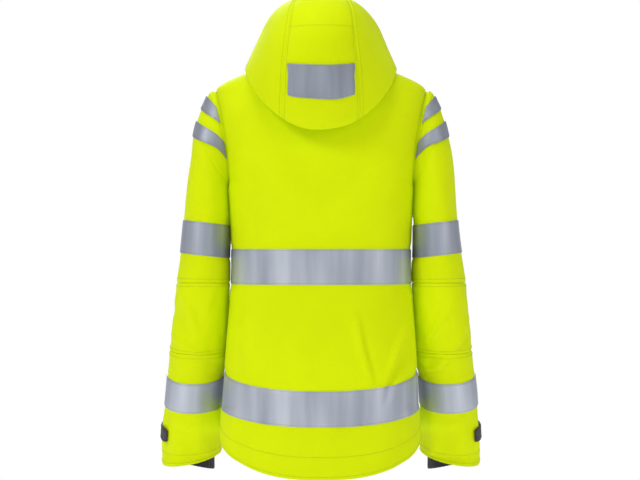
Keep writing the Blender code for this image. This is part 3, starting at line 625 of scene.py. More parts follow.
@dataclass
class Cloth:
    """A thin closed piece of cloth, from a grid of points on its outer face.

    Attributes:
        name: The piece's name.
        finish: Its finish.
        base: The outer face before folds, rows by columns by 3, for the wearer's left.
        sign: 1 where across times down faces out of the jacket, otherwise -1.
        ring: Whether the last column joins the first.
        thick: Thickness, metres.
        offset: How far the outer face stands off the base.
        relief: Height of folds at each point, or None.
        roll: Width over which each edge dips into its seam: first row, last row, first
            column, last column. 0 leaves an edge flat.
        roll_depth: How deep the edges dip.
        side: The wearer's side; the right one is mirrored.
    """

    name: str
    finish: Finish
    base: Array
    sign: int = 1
    ring: bool = False
    thick: float = 0.0022
    offset: float = 0.0
    relief: Optional[Array] = None
    roll: Tuple[float, float, float, float] = (0.0, 0.0, 0.0, 0.0)
    roll_depth: float = 0.0017
    side: Side = Side.LEFT
    outer: Array = field(init=False)
    normals: Array = field(init=False)
    run: Array = field(init=False)
    fall: Array = field(init=False)

    def __post_init__(self) -> None:
        """Measures the grid, then lays the folds and rolls the edges."""
        closed = np.concatenate([self.base, self.base[:, :1]], axis=1) if self.ring else self.base
        steps = np.linalg.norm(np.diff(closed, axis=1), axis=2)
        self.run = np.pad(np.cumsum(steps, axis=1), ((0, 0), (1, 0)))
        steps = np.linalg.norm(np.diff(self.base, axis=0), axis=2)
        self.fall = np.pad(np.cumsum(steps, axis=0), ((1, 0), (0, 0)))
        self.normals = grid_normals(self.base, self.ring) * self.sign
        lift = np.full(self.base.shape[:2], self.offset)
        if self.relief is not None:
            lift = lift + self.relief
        lift = lift - self.dip()
        self.outer = self.base + self.normals * lift[..., None]

    def dip(self) -> Array:
        """How far each point sinks because it is near a sewn edge."""
        run = self.run[:, : self.base.shape[1]]
        gaps = (self.fall, self.fall[-1:] - self.fall, run, self.run[:, -1:] - run)
        total = np.zeros(self.base.shape[:2])
        for width, gap in zip(self.roll, gaps):
            if width > 0:
                total = np.maximum(total, self.roll_depth * (1 - np.clip(gap / width, 0, 1)) ** 2)
        return total

    def flat(self) -> Tuple[float, float, float]:
        """The cut's greatest width, greatest length and its area."""
        closed = np.concatenate([self.base, self.base[:, :1]], axis=1) if self.ring else self.base
        one = np.cross(closed[:-1, 1:] - closed[:-1, :-1], closed[1:, :-1] - closed[:-1, :-1])
        two = np.cross(closed[1:, 1:] - closed[1:, :-1], closed[1:, 1:] - closed[:-1, 1:])
        area = (np.linalg.norm(one, axis=2).sum() + np.linalg.norm(two, axis=2).sum()) / 2
        return float(self.run[:, -1].max()), float(self.fall[-1].max()), float(area)

    def at(self, row: Array, column: Array, lift: float = 0.0) -> Tuple[Array, Array]:
        """Points and normals on the outer face at fractional rows and columns.

        Args:
            row: From 0 at the first row to 1 at the last.
            column: From 0 at the first column to 1 at the last.
            lift: How far the points stand off the face.

        Returns:
            The points and their normals, on the piece's own side.
        """
        rows, cols = self.base.shape[:2]
        last = cols if self.ring else cols - 1
        row, column = np.broadcast_arrays(np.asarray(row, float), np.asarray(column, float))
        r, c = np.clip(row, 0, 1) * (rows - 1), np.clip(column, 0, 1) * last
        i, j = np.minimum(r.astype(int), rows - 2), np.minimum(c.astype(int), last - 1)
        f, g = (r - i)[:, None], (c - j)[:, None]
        found = []
        for data in (self.outer, self.normals):
            k = (j + 1) % cols
            found.append((data[i, j] * (1 - g) + data[i, k] * g) * (1 - f)
                         + (data[i + 1, j] * (1 - g) + data[i + 1, k] * g) * f)
        flip = np.array([self.side.value, 1, 1])
        return (found[0] + found[1] * lift) * flip + TO_LOOP, found[1] * flip

    def build(self) -> bpy.types.Object:
        """Makes the closed mesh with its cut map in metres, and its material."""
        rows, cols = self.base.shape[:2]
        inner = self.outer - self.normals * self.thick
        points = np.concatenate([self.outer.reshape(-1, 3), inner.reshape(-1, 3)])
        points = points * [self.side.value, 1, 1] + TO_LOOP
        count = rows * cols
        span = cols if self.ring else cols - 1
        j, i = np.meshgrid(np.arange(rows - 1), np.arange(span), indexing="ij")
        k = (i + 1) % cols
        quads = np.stack([j * cols + i, j * cols + k, (j + 1) * cols + k, (j + 1) * cols + i], -1)
        marks = np.stack([np.stack([j, i], -1), np.stack([j, i + 1], -1),
                          np.stack([j + 1, i + 1], -1), np.stack([j + 1, i], -1)], -2)
        quads, marks = quads.reshape(-1, 4), marks.reshape(-1, 4, 2)
        faces, places = [quads, quads[:, ::-1] + count], [marks, marks[:, ::-1]]
        edges = [(0, 1), (rows - 1, -1)]
        for row, way in edges:
            i = np.arange(span)
            k = (i + 1) % cols
            wall = np.stack([row * cols + k, row * cols + i, count + row * cols + i,
                             count + row * cols + k], -1)
            mark = np.stack([np.stack([np.full(span, row), q], -1) for q in (i + 1, i, i, i + 1)],
                            -2)
            faces.append(wall[:, ::way])
            places.append(mark[:, ::way])
        if not self.ring:
            for column, way in ((0, -1), (cols - 1, 1)):
                j = np.arange(rows - 1)
                wall = np.stack([(j + 1) * cols + column, j * cols + column,
                                 count + j * cols + column, count + (j + 1) * cols + column], -1)
                mark = np.stack([np.stack([q, np.full(rows - 1, column)], -1)
                                 for q in (j + 1, j, j, j + 1)], -2)
                faces.append(wall[:, ::way])
                places.append(mark[:, ::way])
        faces, places = np.concatenate(faces), np.concatenate(places)
        if self.sign * self.side.value < 0:
            faces, places = faces[:, ::-1], places[:, ::-1]
        mesh = bpy.data.meshes.new(self.name)
        mesh.from_pydata(points.tolist(), [], faces.tolist())
        run = self.run - self.run[:, -1:] / 2
        fall = np.concatenate([self.fall, self.fall[:, :1]], axis=1) if self.ring else self.fall
        flat = places.reshape(-1, 2)
        uv = np.stack([run[flat[:, 0], flat[:, 1]], -fall[flat[:, 0], flat[:, 1]]], -1)
        layer = mesh.uv_layers.new(name="cut")
        layer.data.foreach_set("uv", uv.astype(np.float32).ravel())
        mesh.shade_smooth()
        mesh.set_sharp_from_angle(angle=math.radians(55))
        mesh.materials.append(self.finish.material())
        mesh.update()
        obj = bpy.data.objects.new(self.name, mesh)
        bpy.context.scene.collection.objects.link(obj)
        return obj


@dataclass(frozen=True)
class Fitting:
    """How a finished piece is held to the frame.

    Attributes:
        nodes: The CAD nodes that it stands for.
        body: The body that it rides on, or the first of two.
        other: The second body, where it bends across a joint.
        start: Where the bend starts, before the shift to the loop.
        end: Where the bend ends.
    """

    nodes: Tuple[str, ...]
    body: str
    other: str = ""
    start: Vec = (0.0, 0.0, 0.0)
    end: Vec = (0.0, 0.0, 0.0)

    def apply(self, obj: bpy.types.Object, slot: str) -> None:
        """Names the piece's slot and nodes, and rides or bends it."""
        if slot:
            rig.slot(obj, slot)
        if self.nodes:
            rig.replaces(obj, *self.nodes)
        if self.other:
            start, end = (tuple(float(q) for q in np.array(p) + TO_LOOP)
                          for p in (self.start, self.end))
            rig.blend(obj, self.body, self.other, start=start, end=end)
        else:
            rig.ride(obj, self.body)


def hang(cloth: Cloth, fitting: Fitting, held: str, rests_on: Sequence[str]) -> bpy.types.Object:
    """Args:
        cloth: The cloth.
        fitting: How it is held.
        held: The sheet's state, in the frame's words.
        rests_on: The nodes or pieces that it hangs from.

    Returns:
        The finished object.
    """
    obj = cloth.build()
    fitting.apply(obj, cloth.finish.slot)
    width, length, area = cloth.flat()
    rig.sheet(obj, flat=(width, length), held=held, rests_on=list(rests_on),
             area=min(area, width * length))
    LOG.info("%s: cut %.0f by %.0f mm, %.4f m2", cloth.name, width * 1e3, length * 1e3, area)
    return obj


# ---------------------------------------------------------------- repeated shapes


@dataclass
class Repeat:
    """Small rounded shapes repeated along paths: stitches, or the turns of a zip's coil.

    Attributes:
        name: The piece's name.
        finish: Its finish.
        pitch: Distance from one to the next, metres.
        size: Half sizes across the path, off the surface and along the path.
        sides: Segments round each shape.
    """

    name: str
    finish: Finish
    pitch: float = 0.0042
    size: Vec = (0.00055, 0.00045, 0.0015)
    sides: int = 6
    paths: List[Tuple[Array, Array]] = field(default_factory=list)

    def add(self, path: Tuple[Array, Array]) -> None:
        """Adds a path of points with the way that the surface faces at each."""
        self.paths.append(path)

    def tree(self) -> bpy.types.NodeTree:
        """The node tree that lays the shapes along the paths, built once."""
        tree = bpy.data.node_groups.get("repeat_along_path")
        if tree is not None:
            return tree
        tree = bpy.data.node_groups.new("repeat_along_path", "GeometryNodeTree")
        face = tree.interface
        face.new_socket("Geometry", in_out="INPUT", socket_type="NodeSocketGeometry")
        face.new_socket("Geometry", in_out="OUTPUT", socket_type="NodeSocketGeometry")
        for title, kind in (("Pitch", "NodeSocketFloat"), ("Half Size", "NodeSocketVector"),
                            ("Sides", "NodeSocketInt"), ("Finish", "NodeSocketMaterial")):
            face.new_socket(title, in_out="INPUT", socket_type=kind)
        given = add_node(tree, "NodeGroupInput").outputs
        curve = add_node(tree, "GeometryNodeMeshToCurve", in0=given["Geometry"])
        even = add_node(tree, "GeometryNodeResampleCurve", {"mode": "LENGTH"}, Curve=curve.outputs[0],
                        Length=given["Pitch"])
        ball = add_node(tree, "GeometryNodeMeshUVSphere", Segments=given["Sides"], Rings=4,
                        Radius=1.0)
        tangent = add_node(tree, "GeometryNodeInputTangent")
        facing = add_node(tree, "GeometryNodeInputNamedAttribute", {"data_type": "FLOAT_VECTOR"},
                          Name="facing")
        along = add_node(tree, "FunctionNodeAlignRotationToVector", {"axis": "Z"},
                         Vector=tangent.outputs[0])
        turned = add_node(tree, "FunctionNodeAlignRotationToVector",
                          {"axis": "Y", "pivot_axis": "Z"}, Rotation=along.outputs[0],
                          Vector=facing.outputs[0])
        many = add_node(tree, "GeometryNodeInstanceOnPoints", Points=even.outputs[0],
                        Instance=ball.outputs[0], Rotation=turned.outputs[0],
                        Scale=given["Half Size"])
        real = add_node(tree, "GeometryNodeRealizeInstances", in0=many.outputs[0])
        dressed = add_node(tree, "GeometryNodeSetMaterial", Geometry=real.outputs[0],
                           Material=given["Finish"])
        add_node(tree, "NodeGroupOutput", in0=dressed.outputs[0])
        return tree

    def build(self, fitting: Fitting) -> Optional[bpy.types.Object]:
        """Makes the shapes as a plain mesh and fits it to the frame.

        Args:
            fitting: How the piece is held.

        Returns:
            The object, or None where there are no paths.
        """
        if not self.paths:
            return None
        points = np.concatenate([p for p, _ in self.paths])
        edges, start = [], 0
        for path, _ in self.paths:
            edges += [(start + k, start + k + 1) for k in range(len(path) - 1)]
            start += len(path)
        guide = bpy.data.meshes.new(self.name + "_guide")
        guide.from_pydata(points.tolist(), edges, [])
        facing = guide.attributes.new("facing", "FLOAT_VECTOR", "POINT")
        facing.data.foreach_set("vector", np.concatenate([n for _, n in self.paths]).astype(
            np.float32).ravel())
        rail = bpy.data.objects.new(self.name + "_rail", guide)
        bpy.context.scene.collection.objects.link(rail)
        made = rail.modifiers.new("repeat", "NODES")
        made.node_group = self.tree()
        values = {"Pitch": self.pitch, "Half Size": self.size, "Sides": self.sides,
                  "Finish": self.finish.material()}
        for item in made.node_group.interface.items_tree:
            if item.item_type == "SOCKET" and item.in_out == "INPUT" and item.name in values:
                made[item.identifier] = values[item.name]
        graph = bpy.context.evaluated_depsgraph_get()
        mesh = bpy.data.meshes.new_from_object(rail.evaluated_get(graph))
        mesh.name = self.name
        mesh.shade_smooth()
        rail.modifiers.clear()
        bpy.data.objects.remove(rail, do_unlink=True)
        obj = bpy.data.objects.new(self.name, mesh)
        bpy.context.scene.collection.objects.link(obj)
        fitting.apply(obj, self.finish.slot)
        LOG.info("%s: %d faces", self.name, len(mesh.polygons))
        return obj


# ---------------------------------------------------------------- shapes of the cut


@dataclass
class TorsoShape:
    """The body of the jacket: rings from the neck to the hem, and its front line.

    phi is 0 at the centre back, a quarter turn at the wearer's left side and half a turn
    at the front. v counts down through the key levels: 2 is the shoulder tip, 3 the
    underarm, 4 to 5 the waist tape, 6 to 7 the hem tape and 8 the hem.
    """

    keys: Tuple[Vec, ...] = (
        (-0.018, 0.0, -0.050), (-0.030, -0.018, -0.064), (-0.065, -0.062, -0.092),
        (-0.251, -0.251, -0.251), (-0.363, -0.363, -0.363), (-0.429, -0.429, -0.429),
        (-0.593, -0.626, -0.593), (-0.659, -0.692, -0.659), (-0.715, -0.790, -0.700))
    rings: Tuple[Tuple[float, float, float, float], ...] = (
        (-0.018, 0.072, 0.058, 2.0), (-0.030, 0.138, 0.078, 2.1), (-0.065, 0.199, 0.100, 2.5),
        (-0.110, 0.195, 0.117, 2.9), (-0.158, 0.188, 0.124, 3.0), (-0.251, 0.174, 0.128, 2.8),
        (-0.363, 0.169, 0.122, 2.5), (-0.429, 0.170, 0.121, 2.5), (-0.550, 0.178, 0.134, 2.5),
        (-0.659, 0.185, 0.145, 2.5), (-0.715, 0.188, 0.149, 2.5))
    sweep: float = math.radians(20)
    zip_half: float = 0.0125
    neck_y: float = -0.098
    neck_z: float = -0.050
    slope: float = 0.0723

    def __post_init__(self) -> None:
        """Sets up the smooth tables."""
        columns = list(zip(*self.rings))
        self.half, self.back, self.square = (SmoothTable(columns[0], columns[k]) for k in (1, 2, 3))

    def front_y(self, z: Array) -> Array:
        """The zip's line: Y at each height."""
        return self.neck_y + (z - self.neck_z) * self.slope

    def side_level(self, v: Array) -> Array:
        """Height at the side seam."""
        return np.interp(v, np.arange(len(self.keys)), [k[0] for k in self.keys])

    def __call__(self, phi: Array, v: Array) -> Array:
        """The outer face at each angle and level."""
        phi, v = np.broadcast_arrays(np.asarray(phi, float), np.asarray(v, float))
        count = np.arange(len(self.keys))
        side, back, front = (np.interp(v, count, [k[q] for k in self.keys]) for q in range(3))
        c = np.cos(phi)
        far = np.where(c >= 0, back, front)
        z = side + (far - side) * (1 - (1 - np.minimum(np.abs(c), 1)) ** 0.9)
        half, n = self.half(side), self.square(side)
        depth = np.where(c >= 0, self.back(side), -self.front_y(z))
        return np.stack([half * power(np.sin(phi), 2 / n), depth * power(c, 2 / n), z], -1)

    def facing(self, phi: Array, v: Array, d: float = 1e-4) -> Array:
        """The direction the body's surface faces, from two short chords across the point."""
        out = np.cross(self(phi + d, v) - self(phi - d, v), self(phi, v + d) - self(phi, v - d))
        return out / np.maximum(np.linalg.norm(out, axis=-1, keepdims=True), 1e-12)

    def armhole_sweep(self, v: Array) -> Array:
        """How far the armhole eats into the side at each level, as an angle."""
        inside = np.clip(1 - (2 * (v - 2) - 1) ** 2, 0, None)
        return np.where((v > 2) & (v < 3), self.sweep * np.sqrt(inside), 0.0)

    def armhole(self, psi: Array) -> Array:
        """The armhole's edge: psi 0 is the shoulder tip and half a turn the underarm."""
        return self(math.pi / 2 - self.sweep * np.sin(psi), 2.5 - 0.5 * np.cos(psi))

    def front_edge(self, v: Array, x: float) -> Array:
        """The angle at which the front stands x from the middle."""
        side = self.side_level(v)
        return math.pi - np.arcsin((x / self.half(side)) ** (self.square(side) / 2))

    def collar(self, phi: Array, t: Array) -> Array:
        """The collar's stand from the neck seam up."""
        rise = np.clip((phi - math.radians(62)) / math.radians(118), 0, 1) ** 0.8
        lift = 0.0018 + 0.070 * rise * t
        base = self(phi, np.zeros_like(phi))
        return base + np.stack([np.zeros_like(lift), -self.slope * lift * np.cos(phi), lift], -1)


@dataclass
class SleeveShape:
    """The wearer's left sleeve: slanted rings down a bent tube, and its head.

    psi is 0 on the outside of the arm and a quarter turn at its back.
    """

    torso: TorsoShape
    rings: Tuple[Tuple[float, float, float, float, float], ...] = (
        (-0.262, 0.2150, 0.004, 0.0400, 0.075), (-0.310, 0.2172, 0.001, 0.0429, 0.074),
        (-0.372, 0.2208, -0.005, 0.0456, 0.072), (-0.427, 0.2248, -0.011, 0.0497, 0.069),
        (-0.491, 0.2302, -0.020, 0.0518, 0.067), (-0.555, 0.2362, -0.036, 0.0525, 0.064),
        (-0.609, 0.2410, -0.053, 0.0538, 0.061), (-0.671, 0.2463, -0.074, 0.0547, 0.058),
        (-0.715, 0.2495, -0.090, 0.0560, 0.055), (-0.764, 0.2517, -0.109, 0.0565, 0.053))
    squareness: float = 2.15

    def __post_init__(self) -> None:
        """Sets up the smooth tables."""
        columns = list(zip(*self.rings))
        self.cx, self.cy, self.a, self.b = (SmoothTable(columns[0], columns[k]) for k in
                                            (1, 2, 3, 4))

    def __call__(self, psi: Array, level: Array) -> Array:
        """The outer face at each angle and level."""
        psi, level = np.broadcast_arrays(np.asarray(psi, float), np.asarray(level, float))
        n = 2 / self.squareness
        return np.stack([self.cx(level) + self.a(level) * power(np.cos(psi), n),
                         self.cy(level) + self.b(level) * power(np.sin(psi), n), level], -1)

    @staticmethod
    def slant(psi: Array, middle: Array, out: Array, back: Array) -> Array:
        """The level of a slanted ring at each angle."""
        return middle + out * np.cos(psi) + back * np.sin(psi)

    def rows(self, psi: Array, rows: Sequence[Vec], count: int) -> Array:
        """A grid that runs evenly down through slanted rows.

        Args:
            psi: The angles across.
            rows: Middle level, outward tilt and backward tilt of each row.
            count: Rows in the grid.

        Returns:
            Rows by columns by 3.
        """
        table = np.array(rows)
        place = np.interp(np.linspace(table[0, 0], table[-1, 0], count), table[::-1, 0],
                          np.arange(len(rows))[::-1])
        middle, out, back = (np.interp(place, np.arange(len(rows)), table[:, k])[:, None]
                             for k in range(3))
        return self(psi[None, :], self.slant(psi[None, :], middle, out, back))

    def cap(self, psi: Array, t: Array) -> Array:
        """The sleeve head: t 0 at the armhole and 1 at the top of the upper sleeve."""
        psi, t = np.broadcast_arrays(np.asarray(psi, float), np.asarray(t, float))
        top = self.torso.armhole(psi)
        level = self.slant(psi, -0.276, 0.008, 0.0)
        low = self(psi, level)
        up = (low - self(psi, level - 1e-3)) / 1e-3
        reach = np.linalg.norm(top - low, axis=-1, keepdims=True)
        rise = np.maximum(0, np.cos(psi))
        spread = np.stack([0.55 - 0.15 * rise, 0.20 * np.sin(psi),
                           -0.12 - 0.13 * rise + 0.10 * np.minimum(0, np.cos(psi))], -1)
        one = top + spread * reach * (0.30 + 0.22 * rise)[..., None]
        two = low + up * reach * 0.42
        t = t[..., None]
        return ((1 - t) ** 3 * top + 3 * (1 - t) ** 2 * t * one + 3 * (1 - t) * t * t * two
                + t**3 * low)

    def inner_cuff(self, psi: Array, level: Array) -> Array:
        """The knitted cuff inside the sleeve's end."""
        y = self.cy(level) + np.minimum(level + 0.764, 0) * 0.38
        share = (-0.728 - level) / 0.052
        return np.stack([self.cx(level) + 0.0445 * np.cos(psi), y + 0.0430 * np.sin(psi),
                         level + 0.010 * share * np.cos(psi)], -1)


@dataclass
class HoodShape:
    """The hood as it hangs back: rows from the neck seam over the bottom fold to the brim."""

    rows: Tuple[Tuple[float, float, float, float, float], ...] = (
        (0.066, 0.006, 0.0790, -0.020, -0.004), (0.107, -0.038, 0.1020, -0.002, -0.002),
        (0.140, -0.115, 0.1260, 0.022, -0.010), (0.153, -0.1415, 0.1395, 0.040, -0.029),
        (0.174, -0.128, 0.1420, 0.036, -0.022), (0.200, -0.052, 0.1365, 0.006, -0.006),
        (0.210, 0.000, 0.1285, -0.026, 0.015), (0.207, 0.042, 0.1200, -0.048, 0.036),
        (0.186, 0.082, 0.1100, -0.060, 0.058), (0.150, 0.104, 0.0960, -0.066, 0.077),
        (0.105, 0.110, 0.0780, -0.066, 0.092), (0.045, 0.108, 0.0620, -0.062, 0.098),
        (-0.015, 0.096, 0.0540, -0.052, 0.092))

    def read(self, column: int, row: Array) -> Array:
        """A Catmull-Rom curve through one column of the table."""
        values = np.array([r[column] for r in self.rows])
        last = len(values) - 1
        i = np.clip(row.astype(int), 0, last - 1)
        t = row - i
        p = np.concatenate([[2 * values[0] - values[1]], values, [2 * values[-1] - values[-2]]])
        p0, p1, p2, p3 = (p[i + k] for k in range(4))
        return 0.5 * (2 * p1 + (p2 - p0) * t + (2 * p0 - 5 * p1 + 4 * p2 - p3) * t * t
                      + (3 * p1 - p0 - 3 * p2 + p3) * t**3)

    def __call__(self, v: Array, row: Array) -> Array:
        """The outer face; v runs from the wearer's right edge -1 to the left edge 1."""
        v, row = np.broadcast_arrays(np.asarray(v, float), np.asarray(row, float))
        yc, zc, w, ys, zs = (self.read(k, row) for k in range(5))
        angle = v * math.pi / 2
        c = np.maximum(0, np.cos(angle))
        return np.stack([w * power(np.sin(angle), 2 / 2.15), ys + (yc - ys) * c**0.85,
                         zs + (zc - zs) * c**1.5], -1)

    def row_at(self, z: float) -> float:
        """The row whose centre lies at height z on the outer face."""
        rows = np.linspace(4.0, 8.0, 400)
        return float(np.interp(z, self(np.zeros(400), rows)[:, 2], rows))

    def v_at(self, x: float, row: Array) -> Array:
        """The v that stands x from the middle on each row."""
        steps = np.linspace(0, 1, 200)
        found = [np.interp(x, self(steps, np.full(200, r))[:, 0], steps) for r in np.atleast_1d(row)]
        return np.array(found)


# ---------------------------------------------------------------- folds


def swell(z: Array, spans: Sequence[Vec]) -> Array:
    """How far cloth swells between its tapes; a span is its top, its bottom and its height."""
    total = np.zeros_like(z)
    for top, bottom, height in spans:
        total = total + height * step(top - z, 0.0, 0.012) * step(z - bottom, 0.0, 0.012)
    return total


@dataclass
class Folds:
    """Where the cloth folds. Lines are in the plane of X and Z, before the shift to the loop."""

    back: Tuple[Crease, ...] = (
        Crease(((-0.066, -0.492), (-0.077, -0.545), (-0.094, -0.605)), 0.0068, 0.0095, 0.6),
        Crease(((-0.076, -0.510), (-0.088, -0.560), (-0.102, -0.605)), -0.0034, 0.0080),
        Crease(((-0.165, -0.500), (-0.142, -0.555), (-0.121, -0.612)), 0.0076, 0.0085, 0.55),
        Crease(((-0.172, -0.566), (-0.156, -0.593), (-0.136, -0.618)), 0.0054, 0.0065, 0.6),
        Crease(((-0.150, -0.560), (-0.128, -0.612), (-0.118, -0.650)), -0.0038, 0.0075),
        Crease(((0.135, -0.470), (0.142, -0.540), (0.130, -0.600)), 0.0038, 0.0130),
        Crease(((0.060, -0.255), (0.105, -0.215), (0.150, -0.195)), 0.0026, 0.0160),
        Crease(((-0.060, -0.262), (-0.108, -0.225), (-0.155, -0.205)), 0.0027, 0.0150),
        Crease(((-0.020, -0.640), (-0.018, -0.700), (-0.022, -0.770)), 0.0022, 0.0140),
    )
    front: Tuple[Crease, ...] = (
        Crease(((0.040, -0.270), (0.090, -0.235), (0.150, -0.220)), 0.0037, 0.0130, 0.7),
        Crease(((-0.045, -0.300), (-0.095, -0.255), (-0.150, -0.235)), 0.0040, 0.0120, 0.7),
        Crease(((0.060, -0.470), (0.072, -0.530), (0.066, -0.590)), 0.0031, 0.0110, 0.7),
        Crease(((-0.058, -0.455), (-0.074, -0.520), (-0.070, -0.585)), 0.0034, 0.0110, 0.7),
        Crease(((0.140, -0.480), (0.122, -0.540), (0.128, -0.600)), 0.0025, 0.0100),
        Crease(((-0.148, -0.470), (-0.138, -0.540), (-0.146, -0.600)), 0.0028, 0.0100),
    )
    left_sleeve: Tuple[Crease, ...] = (
        Crease(((0.262, -0.430), (0.246, -0.475), (0.234, -0.517)), 0.0053, 0.0085, 0.55),
        Crease(((0.276, -0.530), (0.235, -0.556), (0.192, -0.571)), 0.0047, 0.0075, 0.5),
        Crease(((0.282, -0.470), (0.266, -0.500), (0.252, -0.560)), -0.0031, 0.0090),
        Crease(((0.275, -0.590), (0.240, -0.582), (0.205, -0.588)), 0.0025, 0.0070),
        Crease(((0.200, -0.430), (0.214, -0.470), (0.210, -0.520)), 0.0028, 0.0090),
        Crease(((0.276, -0.690), (0.250, -0.705), (0.225, -0.700)), 0.0025, 0.0080),
    )
    right_sleeve: Tuple[Crease, ...] = (
        Crease(((0.190, -0.566), (0.203, -0.589), (0.221, -0.590)), 0.0047, 0.0058, 0.5),
        Crease(((0.204, -0.592), (0.222, -0.588), (0.242, -0.573)), 0.0047, 0.0058, 0.5),
        Crease(((0.201, -0.536), (0.224, -0.500), (0.252, -0.464)), 0.0040, 0.0075, 0.6),
        Crease(((0.275, -0.520), (0.272, -0.536), (0.262, -0.552)), -0.0040, 0.0050),
        Crease(((0.275, -0.505), (0.268, -0.530), (0.250, -0.548)), 0.0034, 0.0060),
        Crease(((0.196, -0.560), (0.215, -0.574), (0.235, -0.566)), -0.0028, 0.0060),
        Crease(((0.270, -0.690), (0.246, -0.702), (0.222, -0.696)), 0.0022, 0.0080),
    )
    inner_elbow: Tuple[Crease, ...] = (
        Crease(((0.190, -0.470), (0.232, -0.482), (0.276, -0.462)), -0.0047, 0.0070),
        Crease(((0.188, -0.500), (0.230, -0.512), (0.280, -0.498)), 0.0047, 0.0080, 0.6),
        Crease(((0.192, -0.535), (0.236, -0.526), (0.282, -0.540)), -0.0040, 0.0070),
        Crease(((0.196, -0.555), (0.240, -0.566), (0.284, -0.552)), 0.0037, 0.0080, 0.6),
    )

    left_head: Tuple[Crease, ...] = (
        Crease(((0.233, -0.144), (0.212, -0.184), (0.176, -0.240)), -0.0018, 0.0022),
        Crease(((0.239, -0.160), (0.240, -0.230), (0.238, -0.300)), 0.0020, 0.0100),
    )
    right_head: Tuple[Crease, ...] = (
        Crease(((0.230, -0.135), (0.208, -0.178), (0.176, -0.238)), -0.0016, 0.0022),
        Crease(((0.241, -0.170), (0.240, -0.240), (0.236, -0.300)), 0.0014, 0.0110),
    )
    body_sides: Tuple[Vec, ...] = (
        (-0.238, -0.360, 0.0021), (-0.432, -0.594, 0.0025), (-0.656, -0.800, 0.0034))
    sleeve_sides: Tuple[Vec, ...] = (
        (-0.240, -0.310, 0.0021), (-0.378, -0.602, 0.0025), (-0.660, -0.800, 0.0016))

    def body(self, points: Array) -> Array:
        """Height of the body's folds: crisp lines, slow waves and a fuller hem."""
        x, y, z = np.moveaxis(points, -1, 0)
        behind = step(y, -0.02, 0.03)
        total = lifts(self.back, x, z) * behind + lifts(self.front, x, z) * (1 - behind)
        total = total + ripple(x + 0.4 * y, z, 0.17, 5, 1.6) * 0.0009
        full = step(-z, 0.42, 0.76)
        total = total + full * np.sin(x * 41 + 1.3 * np.sin(z * 9)) * 0.0017
        total = total - step(0.02 - np.abs(z + 0.396), 0, 0.018) * 0.0004
        return total + step(np.abs(x), 0.148, 0.166) * swell(z, self.body_sides)

    def sleeve(self, points: Array, side: Side) -> Array:
        """Height of a sleeve's folds, for points of the wearer's left sleeve."""
        x, y, z = np.moveaxis(points, -1, 0)
        middle = -0.02 - 0.36 * np.clip(-z - 0.49, 0, None)
        behind = step(y - middle, -0.012, 0.016)
        lines = self.left_sleeve if side is Side.LEFT else self.right_sleeve
        seed = 11 if side is Side.LEFT else 23
        total = lifts(lines, x, z) * behind + lifts(self.inner_elbow, x, z) * (1 - behind)
        total = total + ripple(x * 0.8 + y, z, 0.10, seed, 1.3) * 0.0010
        soft = step(-z, 0.38, 0.46) * (1 - step(-z, 0.57, 0.62))
        total = total + soft * ripple(x + y, z, 0.045, seed + 1, 0.8) * 0.0007
        inward = 0.2150 - 0.0745 * (z + 0.262) - x
        return total + step(inward, 0.024, 0.040) * swell(z, self.sleeve_sides)

    def head(self, points: Array, side: Side) -> Array:
        """Height of a sleeve head's slanted seam and the long soft fold beside it."""
        x, y, z = np.moveaxis(points, -1, 0)
        lines = self.left_head if side is Side.LEFT else self.right_head
        return lifts(lines, x, z) * step(y, 0.0, 0.02)

    def hood(self, points: Array) -> Array:
        """Height of the hood's folds."""
        x, y, z = np.moveaxis(points, -1, 0)
        total = ripple(x, z + 0.6 * y, 0.13, 31, 1.2) * 0.0011
        dent = Crease(((-0.0610, 0.046), (-0.0608, -0.006)), -0.0016, 0.0045).lift(x, z)
        sag = Crease(((-0.060, -0.092), (0.0, -0.100), (0.060, -0.090)), 0.0016, 0.0120).lift(x, z)
        ridge = Crease(((-0.012, -0.010), (-0.016, -0.055), (-0.020, -0.090)), 0.0014, 0.0060)
        dip = Crease(((-0.038, -0.010), (-0.042, -0.055), (-0.040, -0.090)), -0.0016, 0.0070)
        bands = ridge.lift(x, z) + dip.lift(x, z)
        return total + (dent + sag + bands) * step(y, 0.05, 0.12)


# ---------------------------------------------------------------- the body of the jacket

TORSO = "torso"


def slide_path(cloth: Cloth, rows: Sequence[float], columns: Sequence[float], count: int,
               lift: float = 0.0004) -> Tuple[Array, Array]:
    """A path over a cloth between two places on it.

    Args:
        cloth: The cloth.
        rows: First and last place down it, 0 to 1.
        columns: First and last place across it, 0 to 1.
        count: Points on the path.
        lift: How far the path stands off the face.

    Returns:
        Points and normals.
    """
    return cloth.at(np.linspace(rows[0], rows[-1], count),
                    np.linspace(columns[0], columns[-1], count), lift)


